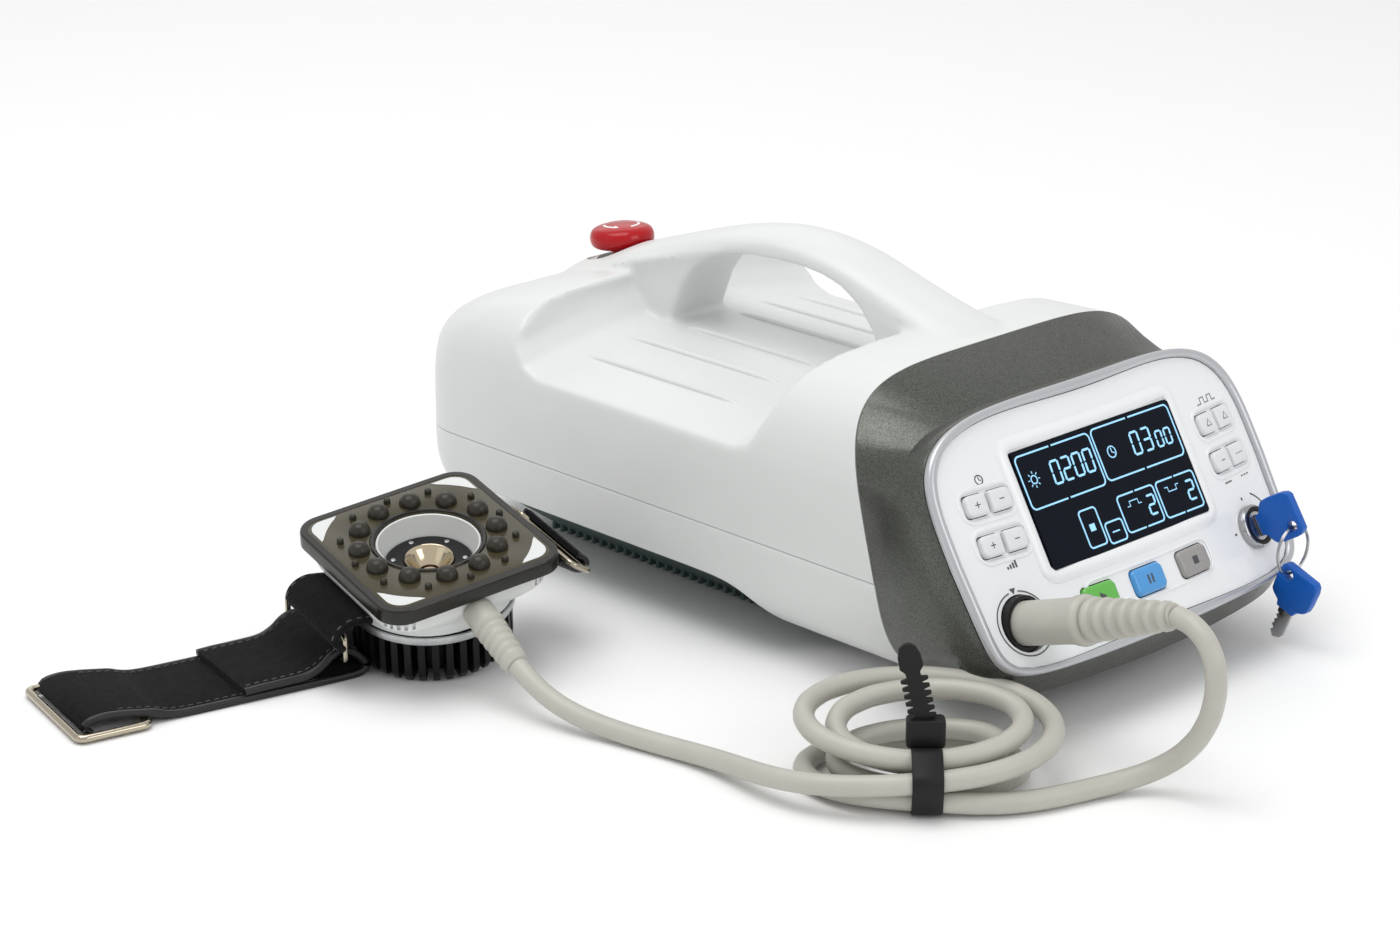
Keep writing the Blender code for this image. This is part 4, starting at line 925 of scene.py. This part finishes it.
def make_display():
    on = above(-0.3)
    low, high = -0.1, 0.06

    def line(points, width, closed=False):
        return ribbon(points, width, on, low, high, closed)
    shapes = []
    for box in ((-49.2, 0.3, -3.4, 22.8, 2.4, 0.8, -27.0), (-1.7, 0.9, 48.2, 23.3, 2.4, 0.8, 22.2),
                (-1.3, -21.9, 21.9, -6.2, 1.8, 0.6, 10.2), (23.8, -21.9, 48.2, -6.2, 1.8, 0.6, 35.7),
                (-25.8, -22.2, -15.4, -6.4, 1.6, 0.0, None), (-13.6, -23.4, -3.1, -14.6, 1.6, 0.0, None)):
        shapes += [line(points, 0.72, closed) for points, closed in box_lines(*box)]
    digits = []
    readings = (("0200", -31.2, 6.75, 7.2, 4.6, 9.4, 0.95), ("03", 19.6, 7.3, 7.4, 4.6, 9.4, 0.95),
                ("00", 34.8, 5.6, 7.2, 3.6, 6.6, 0.85), ("2", 15.4, 0, -18.0, 4.3, 8.0, 0.95),
                ("2", 41.2, 0, -18.0, 4.3, 8.0, 0.95))
    for chars, x, step, y, w, h, t in readings:
        for k, char in enumerate(chars):
            digits += digit(char, x + step * k, y, w, h, t)
    shapes += [patch(outline, on, low, high) for outline in digits]
    pulse = [(3.4, -11.6), (5.2, -11.6), (5.2, -9.6), (10.4, -9.6), (10.4, -11.6), (12.2, -11.6)]
    pause = [(28.4, -9.6), (30.2, -9.6), (30.2, -11.6), (35.4, -11.6), (35.4, -9.6), (37.2, -9.6)]
    shapes += [line(arc(-42.4, 12.0, 1.7, 0, 360, 24)[:-1], 0.5, True),
               line(arc(6.4, 12.0, 2.4, 0, 360, 28)[:-1], 0.5, True),
               line([(6.4, 13.8), (6.4, 12.0), (7.9, 11.2)], 0.45),
               line(pulse, 0.45),
               line(pause, 0.45),
               patch([(-22.2, -15.7), (-19.0, -15.7), (-19.0, -12.7), (-22.2, -12.7)], on, low, high),
               line([(-10.6, -19.0), (-6.1, -19.0)], 0.6)]
    for a in [pi / 4 * k for k in range(8)]:
        shapes.append(line([(-42.4 + r * cos(a), 12.0 + r * sin(a)) for r in (2.5, 3.5)], 0.4))
    piece("display_segments", merged(shapes), BODY, "display_glass", panel_frame(*DISPLAY_AT),
          material="glow_segments")


def cap(size, radii, low, high, crown):
    rings = []
    steps = ((0.0, low), (0.0, high - crown), (0.12, high - crown * 0.62), (0.4, high - crown * 0.25),
             (0.8, high - crown * 0.05), (1.35, high))
    for inset, z in steps:
        inset = inset * crown
        outline = rounded(size[0] - 2 * inset, size[1] - 2 * inset, [max(r - inset, 0.3) for r in radii])
        rings.append([(x, y, z) for x, y in outline])
    rings.append([(x * 0.5, y * 0.5, high + 0.12) for x, y, _ in rings[-1]])
    return loft(rings)


def make_keys():
    names = (("time_up_key", "power_up_key"), ("time_down_key", "power_down_key"),
             ("on_time_key", "continuous_key"), ("off_time_key", "cycle_key"))
    cross = [[(-1.3, 0), (1.3, 0)], [(0, -1.3), (0, 1.3)]]
    dash = [[(-1.3, 0), (1.3, 0)]]
    peak = [[(-1.7, -1.3), (1.7, -1.3), (0, 1.6), (-1.7, -1.3)]]
    dashes = [[(-2.5 + 1.8 * k, 0), (-1.4 + 1.8 * k, 0)] for k in range(3)]
    icons = ((cross, cross), (dash, dash), (peak, dash), (peak, dashes))
    for u, column, signs, side in zip(KEY_COLUMNS, names, icons, (-1, 1, -1, 1)):
        radii = [3.0, 1.0, 1.0, 3.0] if side > 0 else [1.0, 3.0, 3.0, 1.0]
        for v, name, lines in zip(KEY_ROWS, column, signs):
            put = panel_frame(u, v)
            piece(name + "_cap", cap((11.2, 9.0), radii, -5.0, 1.6, 1.0), name, "key_white", put, [name])
            mark = merged([ribbon(line, 0.42, above(1.72), -0.3, 0.05) for line in lines])
            piece(name + "_mark", mark, name, "black_plastic", put, material="print_dark")
    play = [[(-1.6, -2.0), (2.0, 0.0), (-1.6, 2.0)]]
    pause = [[(-1.7, -1.9), (-0.6, -1.9), (-0.6, 1.9), (-1.7, 1.9)],
             [(0.6, -1.9), (1.7, -1.9), (1.7, 1.9), (0.6, 1.9)]]
    square = [[(-1.7, -1.7), (1.7, -1.7), (1.7, 1.7), (-1.7, 1.7)]]
    for u, name, slot, shapes in zip(BUTTON_COLUMNS, ("start_button", "wait_button", "stop_button"),
                                     ("button_green", "button_blue", "button_grey"), (play, pause, square)):
        put = panel_frame(u, BUTTON_ROW)
        piece(name + "_cap", cap((19.0, 11.4), [3.0] * 4, -5.0, 2.0, 1.5), name, slot, put, [name])
        mark = merged([patch(s, above(2.12), -0.3, 0.05) for s in shapes])
        piece(name + "_mark", mark, name, "black_plastic", put, material="print_dark")


def key_bow(name, frame_of_key, low, hole_at, body, node):
    half = [(0, 4.4), (2.4, 5.0), (4.2, 8.2), (5.6, 9.6), (9.0, 10.0), (16.0, 10.0), (18.6, 9.3), (20.0, 7.8)]
    outline = [(w, z) for z, w in half] + [(-w, z) for z, w in reversed(half)]
    made = built(name, *loft([[(x, y, low + z) for y, z in outline] for x in (-2.2, 2.2)]), frame_of_key)
    carved(made, lathe([(2.2, -5), (2.2, 5)], 32),
           frame_of_key @ shift(0, hole_at, low + 15.6) @ Matrix.Rotation(pi / 2, 4, "Y"))
    rounding(made, 0.6, 3)
    ready(made, body, "key_blue", [node])


def make_lock():
    put = panel_frame(*LOCK_AT)
    shell = [(8.2, -24), (8.2, 0.35), (9.5, 0.35), (9.6, 1.2), (9.6, 2.4), (9.2, 3.2), (8.4, 3.6), (7.2, 3.6),
             (6.8, 3.1), (6.6, 2.4), (6.6, -24)]
    piece("lock_barrel", lathe(shell, 72, True), BODY, "chrome", put, ["key_switch_body"])
    face = [(6.65, 3.3), (6.65, 3.74), (8.35, 3.74), (8.5, 3.3)]
    piece("lock_face", lathe(face, 72, True), BODY, "black_plastic", put)
    key_bow("inserted_bow", put, 4.4, -5.0, "key_rotor", "inserted_key_head")
    hole = mm_point(put, 0, -5.0, 20.0)
    middle = hole - Vector((0.0, 0.0, 11.1))
    ring_put = frame_at(middle, X_AXIS, Z_AXIS, Vector((0, -1, 0)))
    coil = []
    for k in range(97):
        a = pi / 2 + 4 * pi * k / 96
        coil.append((10.4 * cos(a), 10.4 * sin(a), -0.5 + 1.0 * k / 96))
    piece("split_ring", swept(coil, 0.52, 0.5, 12, up=(0, 0, 1)), "key_ring", "chrome", ring_put, ["key_ring"])
    low = middle - Vector((0.0, 0.0, 11.1))
    out = Vector((0.0, -sin(radians(22)), cos(radians(22))))
    foot = low - out * 15.6 - out.cross(X_AXIS) * 5.0
    spare = tilted(foot, out)
    key_bow("spare_bow", spare, 0.0, 5.0, "spare_key", "spare_key_head")
    blade = [(3.4, -0.5), (3.4, -2.6), (2.2, -3.6), (3.2, -4.6), (1.8, -6.0), (3.0, -7.0), (2.4, -8.6),
             (3.3, -9.6), (1.6, -11.2), (2.8, -12.6), (0.6, -15.0), (-2.4, -13.6), (-3.4, -11.8), (-3.4, -0.5)]
    shape = loft([[(x, y, z) for y, z in blade] for x in (-0.85, 0.85)])
    piece("spare_blade", shape, "spare_key", "chrome", spare, ["spare_key_blade"], edge=0.15)


def make_stop():
    put = stop_frame()
    side = [(7.2, 3.6), (11.6, 3.9), (13.8, 4.8), (14.8, 6.4), (15.1, 8.6), (14.8, 10.4), (13.8, 12.2),
            (11.6, 13.5), (8.0, 14.4), (4.0, 14.9), (0.4, 15.0)]
    piece("stop_mushroom", lathe(curved_line(side, 4), 72), "stop_head", "stop_red", put, ["stop_head"],
          angle=50)

    def on(x, y, h):
        return (x, y, 14.35 - (hypot(x, y) - 8.2) * 0.3 + h)
    arrows = []
    for start in (20, 140, 260):
        arrows.append(ribbon(arc(0, 0, 8.2, start, start + 62, 14), 1.0, on, -0.3, 0.08))
        a = radians(start + 62)
        tip, n = Vector((8.2 * cos(a + 0.3), 8.2 * sin(a + 0.3))), Vector((cos(a), sin(a)))
        base = Vector((8.2 * cos(a), 8.2 * sin(a)))
        arrows.append(patch([tuple(base + n * 1.5), tuple(tip), tuple(base - n * 1.5)], on, -0.4, 0.08))
    piece("stop_arrows", merged(arrows), "stop_head", "stop_red", put, material="print_white")
    collar = [(8.0, -14), (8.0, -2.25), (12.2, -2.25), (12.5, -1.9), (12.4, -1.2), (11.9, -0.9), (6.6, -0.9),
              (6.3, -1.3), (6.3, -14)]
    piece("stop_ring", lathe(collar, 72, True), BODY, "black_plastic", put, ["stop_collar"])


def make_rear():
    pins = [slab([(x + cx, y + cy) for x, y in rounded(w, h, 0.5, 3)], -12.6, -3.0)
            for cx, cy, w, h in ((-17.0, 0.4, 2.0, 4.6), (-4.0, 0.4, 2.0, 4.6), (-10.5, 6.2, 2.0, 4.6))]
    piece("inlet_pins", merged(pins), BODY, "chrome", INLET, edge=0.3)

    def on(x, y, h):
        return (x + 14.5, y, 2.0 + (2.2 if y > 0 else 0.6) * y / 9.4 + h)
    marks = [ribbon([(-1.6, 5.6), (1.6, 5.6)], 0.5, on, -0.3, 0.1),
             ribbon(arc(0, -5.4, 1.6, 0, 360, 24)[:-1], 0.5, on, -0.3, 0.1, True)]
    piece("rocker_marks", merged(marks), "mains_switch", "black_plastic", INLET, material="print_white")


# ---------------------------------------------------------------- probe
def make_probe():
    put = probe_matrix()
    levels = ((68, 32, -25.0), (69, 33, -24.4), (69.3, 33, -21.0), (69.8, 32, -19.8), (72.0, 25, -17.6),
              (74.4, 17, -15.6), (75.6, 13, -14.2), (76, 12, -13.2), (76, 12, -7.4), (75.4, 11.7, -7.0))
    shell = loft([[(x, y, z) for x, y in rounded(s, s, r, 12)] for s, r, z in levels])
    made = built("probe_shell", *shell, put)
    carved(made, lathe([(18.6, -17.0), (22.2, -6.0)], 72), put)
    carved(made, lathe([(8.2, -27.0), (8.2, -10)], 40), put)
    notch = slab([(-1.2, -0.75), (2.0, -0.75), (2.0, 0.75), (-1.2, 0.75)], -13.0, -8.6)
    notches = []
    for sx in (-1, 1):
        for k in range(-2, 3):
            a = radians(-45 if sx > 0 else -135) + radians(15) * k
            place = Vector((sx * 26.0 + 12.0 * cos(a), -26.0 + 12.0 * sin(a), 0))
            notches.append(shifted(notch, Matrix.Translation(place) @ Matrix.Rotation(a, 4, "Z")))
    carved(made, merged(notches), put)
    ready(made, BODY, "shell_white", ["probe_housing"], angle=30)

    plate = built("smoked_contact_plate", *slab(rounded(84, 84, 11, 14), -6.6, 0.0), put)
    carved(plate, lathe([(22.4, -9), (22.4, 3)], 72), put)
    rounding(plate, 0.9, 3)
    ready(plate, BODY, "plate_smoke", ["contact_plate"])
    edge = ((84.5, -6.3), (84.5, -1.0), (84.1, -0.3), (83.2, 0.14), (77.6, 0.16), (77.2, -0.3), (83.0, -1.2),
            (83.2, -6.3))
    rings = [[(x, y, z) for x, y in rounded(side, side, 11 - (84 - side) / 2, 14)] for side, z in edge]
    piece("plate_edge", loft(rings, looped=True), BODY, "plate_smoke", put, material="plate_border")
    lip = [(22.5, -0.5), (22.5, 0.3), (22.9, 0.6), (24.0, 0.6), (24.4, 0.2), (24.4, -0.5)]
    piece("plate_lip", lathe(lip, 72, True), BODY, "plate_smoke", put, material="plate_border")
    dome = [(4.6, -0.6), (4.6, 0.5), (4.45, 1.5), (4.0, 2.6), (3.3, 3.6), (2.3, 4.3), (1.2, 4.65), (0.1, 4.7)]
    domes = circled(lathe(dome, 28), [(29.5, 2 * pi * (k + 0.5) / 12) for k in range(12)])
    pegs = circled(lathe([(1.5, -0.4), (1.5, 1.6), (1.1, 2.2), (0.2, 2.3)], 16),
                   [(34.6 if k % 3 == 0 else 36.4, 2 * pi * k / 12) for k in range(12)])
    piece("plate_domes", domes, BODY, "plate_smoke", put, material="dome_rubber", angle=60)
    piece("plate_pegs", pegs, BODY, "plate_smoke", put, material="dome_rubber", angle=60)
    window = arc(0, 0, 43.4, 55, 35, 10) + [(37.4, 23.0)] + arc(30.4, 30.4, 7.0, 0, 90, 8) + [(23.0, 37.4)]
    windows = []
    for sx in (-1, 1):
        for sy in (-1, 1):
            line = [(sx * x, sy * y) for x, y in window]
            windows.append(patch(line if sx * sy > 0 else line[::-1], above(0.0), -0.4, 0.16))
    piece("plate_windows", merged(windows), BODY, "shell_white", put)
    well = [(19.0, -14.9), (21.4, -6.4), (22.1, -6.4), (22.1, -1.4), (21.7, -0.9), (21.1, -1.2), (20.5, -6.2),
            (19.0, -10.6), (18.5, -12.0), (18.4, -14.9)]
    piece("optic_well_ring", lathe(well, 72, True), BODY, "shell_white", put)
    disc = [(10.6, -16.5), (17.5, -16.5), (18.1, -12.0), (18.3, -10.2), (17.9, -9.8), (11.3, -9.7),
            (10.6, -10.0)]
    piece("optic_face", lathe(disc, 72, True), BODY, "black_plastic", put, ["optic_disc"])
    screws = circled(lathe([(1.15, -10.0), (1.15, -9.4), (0.8, -9.15), (0.2, -9.15)], 16),
                     [(15.0, radians(30 + 60 * k)) for k in range(6)])
    piece("optic_screws", screws, BODY, "can_steel", put)
    cone = [(4.2, -16.2), (10.2, -16.2), (10.4, -15.4), (10.4, -9.0), (10.1, -8.6), (9.7, -8.8), (8.4, -10.6),
            (7.0, -12.3), (5.4, -14.0), (4.2, -15.0)]
    piece("optic_reflector", lathe(cone, 72, True), BODY, "cone_champagne", put, ["optic_cone"])
    bulge = [(4.1, -17.2), (4.1, -15.9), (3.2, -15.3), (1.6, -15.0), (0.1, -14.9)]
    piece("optic_lens", lathe(bulge, 48), BODY, "can_steel", put, material="lens_dark", angle=60)
    ring = [(34.75, -29.4), (35.4, -29.1), (35.6, -27.6), (35.4, -26.0), (34.75, -25.7)]
    piece("sink_band", lathe(ring, 90, True), BODY, "can_steel", put)


# ---------------------------------------------------------------- strap
WAY = Vector((-0.975, 0.2225, 0.0)).normalized()
STRAP_FROM = Vector((-220.4, 270.4, 0.0))


def cloth_band(line, width, thick):
    """A band with rounded long edges along (distance, height) points in its own X-Z plane."""
    pts = [Vector((x, 0, z)) for x, z in line]
    rings = []
    h, t = width / 2, thick / 2
    section = [(-h, 0.0), (-h + 0.3 * t, 0.75), (-h + t, 1.0), (-h * 0.5, 1.06), (0, 1.08), (h * 0.5, 1.06),
               (h - t, 1.0), (h - 0.3 * t, 0.75), (h, 0.0), (h - 0.3 * t, -0.75), (h - t, -1.0), (0, -1.0),
               (-h + t, -1.0), (-h + 0.3 * t, -0.75)]
    for i, p in enumerate(pts):
        ahead = (pts[min(i + 1, len(pts) - 1)] - pts[max(i - 1, 0)]).normalized()
        n = Vector((-ahead.z, 0, ahead.x))
        rings.append([tuple(p + Vector((0, y, 0)) + n * (o * t)) for y, o in section])
    return loft(rings)


def edge_lines(line, width, wide, tall):
    return [swept([(x, side * width / 2, z) for x, z in line], wide, tall, 10, up=(0, 0, 1))
            for side in (-1, 1)]


def stitches(line, offsets, lift, length=2.2, gap=1.6, flip=1):
    pts = [Vector((x, 0, z)) for x, z in line]
    total = sum((b - a).length for a, b in zip(pts, pts[1:]))
    count = int(total / (length + gap))
    fine = even(pts, count * 4)
    shapes = []
    for y in offsets:
        for k in range(count):
            a, b = fine[4 * k], fine[4 * k + 2]
            ahead = (b - a).normalized()
            n = Vector((-ahead.z, 0, ahead.x)) * flip
            mid = (a + b) / 2 + n * (lift + 0.15)
            path = [a + n * (lift - 0.25), a + ahead * 0.25 + n * (lift + 0.1), mid,
                    b - ahead * 0.25 + n * (lift + 0.1), b + n * (lift - 0.25)]
            shapes.append(swept([tuple(p + Vector((0, y, 0))) for p in path], 0.32, 0.28, 6))
    return shapes


def wire_ring(name, put, width, depth, wire, node, body):
    path = [(x + depth / 2, y, 0) for x, y in rounded(depth, width, 3.0, 8)]
    shape = swept(path, wire / 2, wire / 2, 16, True, up=(0, 0, 1))
    piece(name, shape, body, "buckle_nickel", put, [node], angle=60)


def sink_foot(x, y):
    put = probe_matrix()
    out = put.to_3x3() @ Z_AXIS
    foot = mm_point(put, 0, 0, -49.0)
    return foot.z - (out.x * (x - foot.x) + out.y * (y - foot.y)) / out.z


def make_strap():
    put = probe_matrix()

    def cloth(name, shape, where, body=BODY, **more):
        piece(name, shape, body, "strap_black", where, **more)
    right = put @ shift(38.6, 0, -15)
    line = curved_line([(-1.4, 0), (4, 0.5), (8, 0.5), (12.0, -0.4)], 5)
    cloth("right_loop_cloth", cloth_band(line, 43.4, 2.6), right, stands_for=["right_strap_loop"])
    cloth("right_loop_stitches", merged(stitches(line, (-19.6, 19.6), 1.35)), right, material="thread_dark")
    turn = put @ shift(52.6, 0, -16.5) @ Matrix.Rotation(radians(38), 4, "Y")
    wire_ring("right_wire_ring", turn, 56, 11, 2.6, "right_strap_ring", "right_strap_ring")
    tab = curved_line([(-1.0, -2.9), (5, -3.1), (10.6, -2.9), (13.6, -1.3), (13.6, 1.3), (10.6, 2.9),
                       (6.5, 3.2)], 6)
    cloth("right_tab_cloth", cloth_band(tab, 42.0, 2.2), turn, "right_strap_ring", angle=60)
    cloth("right_tab_binding", merged(edge_lines(tab, 42.2, 1.1, 1.3)), turn, "right_strap_ring",
          material="edge_binding", angle=60)
    left = put @ shift(-38.6, 4, -17)
    line = curved_line([(1.4, -0.3), (-7, 1.5), (-13, -0.5), (-15.5, -5.5), (-12, -9.6)], 6)
    cloth("left_loop_cloth", cloth_band(line, 43.4, 2.6), left, stands_for=["left_strap_loop"])
    cloth("left_loop_stitches", merged(stitches(line, (-19.6, 19.6), 1.35, flip=-1)), left,
          material="thread_dark")

    across = WAY.cross(-Z_AXIS)
    lying = frame_at(STRAP_FROM, WAY, Z_AXIS.cross(WAY), Z_AXIS)
    route = [(119.5, 1.7), (122.2, 3.6), (120.5, 6.6), (114, 7.6), (106, 6.9), (98.0, 5.6), (92.5, 4.6),
             (88, 3.0), (80, 1.75), (60, 1.6), (40, 1.6), (20, 1.6), (5, 1.7), (-0.5, 2.6), (-2.2, 5.0),
             (0.0, 8.6), (4.2, 12.2), (9, 13.6), (13.8, 11.9), (18.5, 8.2), (25, 5.6), (36, 5.0), (46, 4.9),
             (53, 4.6)]
    line = [tuple(p) for p in even(curved(route, 6), 110)]
    rings = []
    for k in range(16):
        s = 3.0 - 59.0 * k / 15
        ring = []
        for side, lift in ((-1, 0), (-0.6, -1), (0, -1), (0.6, -1), (1, 0), (0.9, 0.7), (0.5, 1), (0, 1),
                           (-0.5, 1), (-0.9, 0.7)):
            at = STRAP_FROM + WAY * s + across * (14.0 * side)
            top = max(2.4, min(sink_foot(at.x, at.y) - 0.7, 12.3))
            ring.append((s, 14.0 * side, 0.3 + (top - 0.3) * (lift + 1) / 2))
        rings.append(ring)
    cloth("suede_strap", cloth_band(line, 48.4, 2.7), lying, stands_for=["strap"], angle=60)
    cloth("strap_fold", loft(rings), lying, angle=60)
    cloth("strap_binding", merged(edge_lines(line, 48.6, 1.5, 1.75)), lying, material="edge_binding", angle=60)
    seams = stitches(line[70:], (-21.6, 21.6), 1.42) + stitches(line[12:50], (-21.6, 21.6), 1.42, flip=-1)
    cloth("strap_stitches", merged(seams), lying, material="thread_dark", angle=60)
    ring_at = STRAP_FROM + WAY * 9.0 + Vector((0, 0, 9.6))
    upright = frame_at(ring_at, Z_AXIS, across, Z_AXIS.cross(across))
    wire_ring("left_wire_ring", upright, 56, 12, 2.6, "left_strap_ring", "left_strap_ring")
    beyond = frame_at(STRAP_FROM + WAY * 96.4 + Vector((0, 0, 2.2)), WAY, Z_AXIS.cross(WAY), Z_AXIS)
    wire_ring("nickel_buckle", beyond, 58, 30, 3.4, "strap_buckle", "strap_buckle")


def make_pan_teeth():
    shapes = []
    for side in (-1, 1):
        y = 128.0
        while y < 322.0:
            outline = [(side * 50.6, y), (side * 54.6, y + 0.6), (side * 54.6, y + 2.4), (side * 50.6, y + 3.0)]
            shapes.append(slab(outline if side > 0 else outline[::-1], 1.6, 5.0))
            y += 5.4
    piece("pan_teeth", merged(shapes), BODY, "pan_dark", edge=0.3)


# ---------------------------------------------------------------- everything
FINISH = make_finishes()
make_stage()
lead, lead_length, lead_exit = make_lead()
plug = make_plug()
relief = make_relief()
tie = make_tie()
make_upper_housing()
make_lower_housing()
make_front()
make_display()
make_keys()
make_lock()
make_stop()
make_rear()
make_probe()
make_strap()
make_pan_teeth()

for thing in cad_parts.values():
    for place in thing.material_slots:
        if place.material:
            for key, made in FINISH.items():
                if place.material.name.split(".")[0].startswith(key):
                    place.material = made
                    break
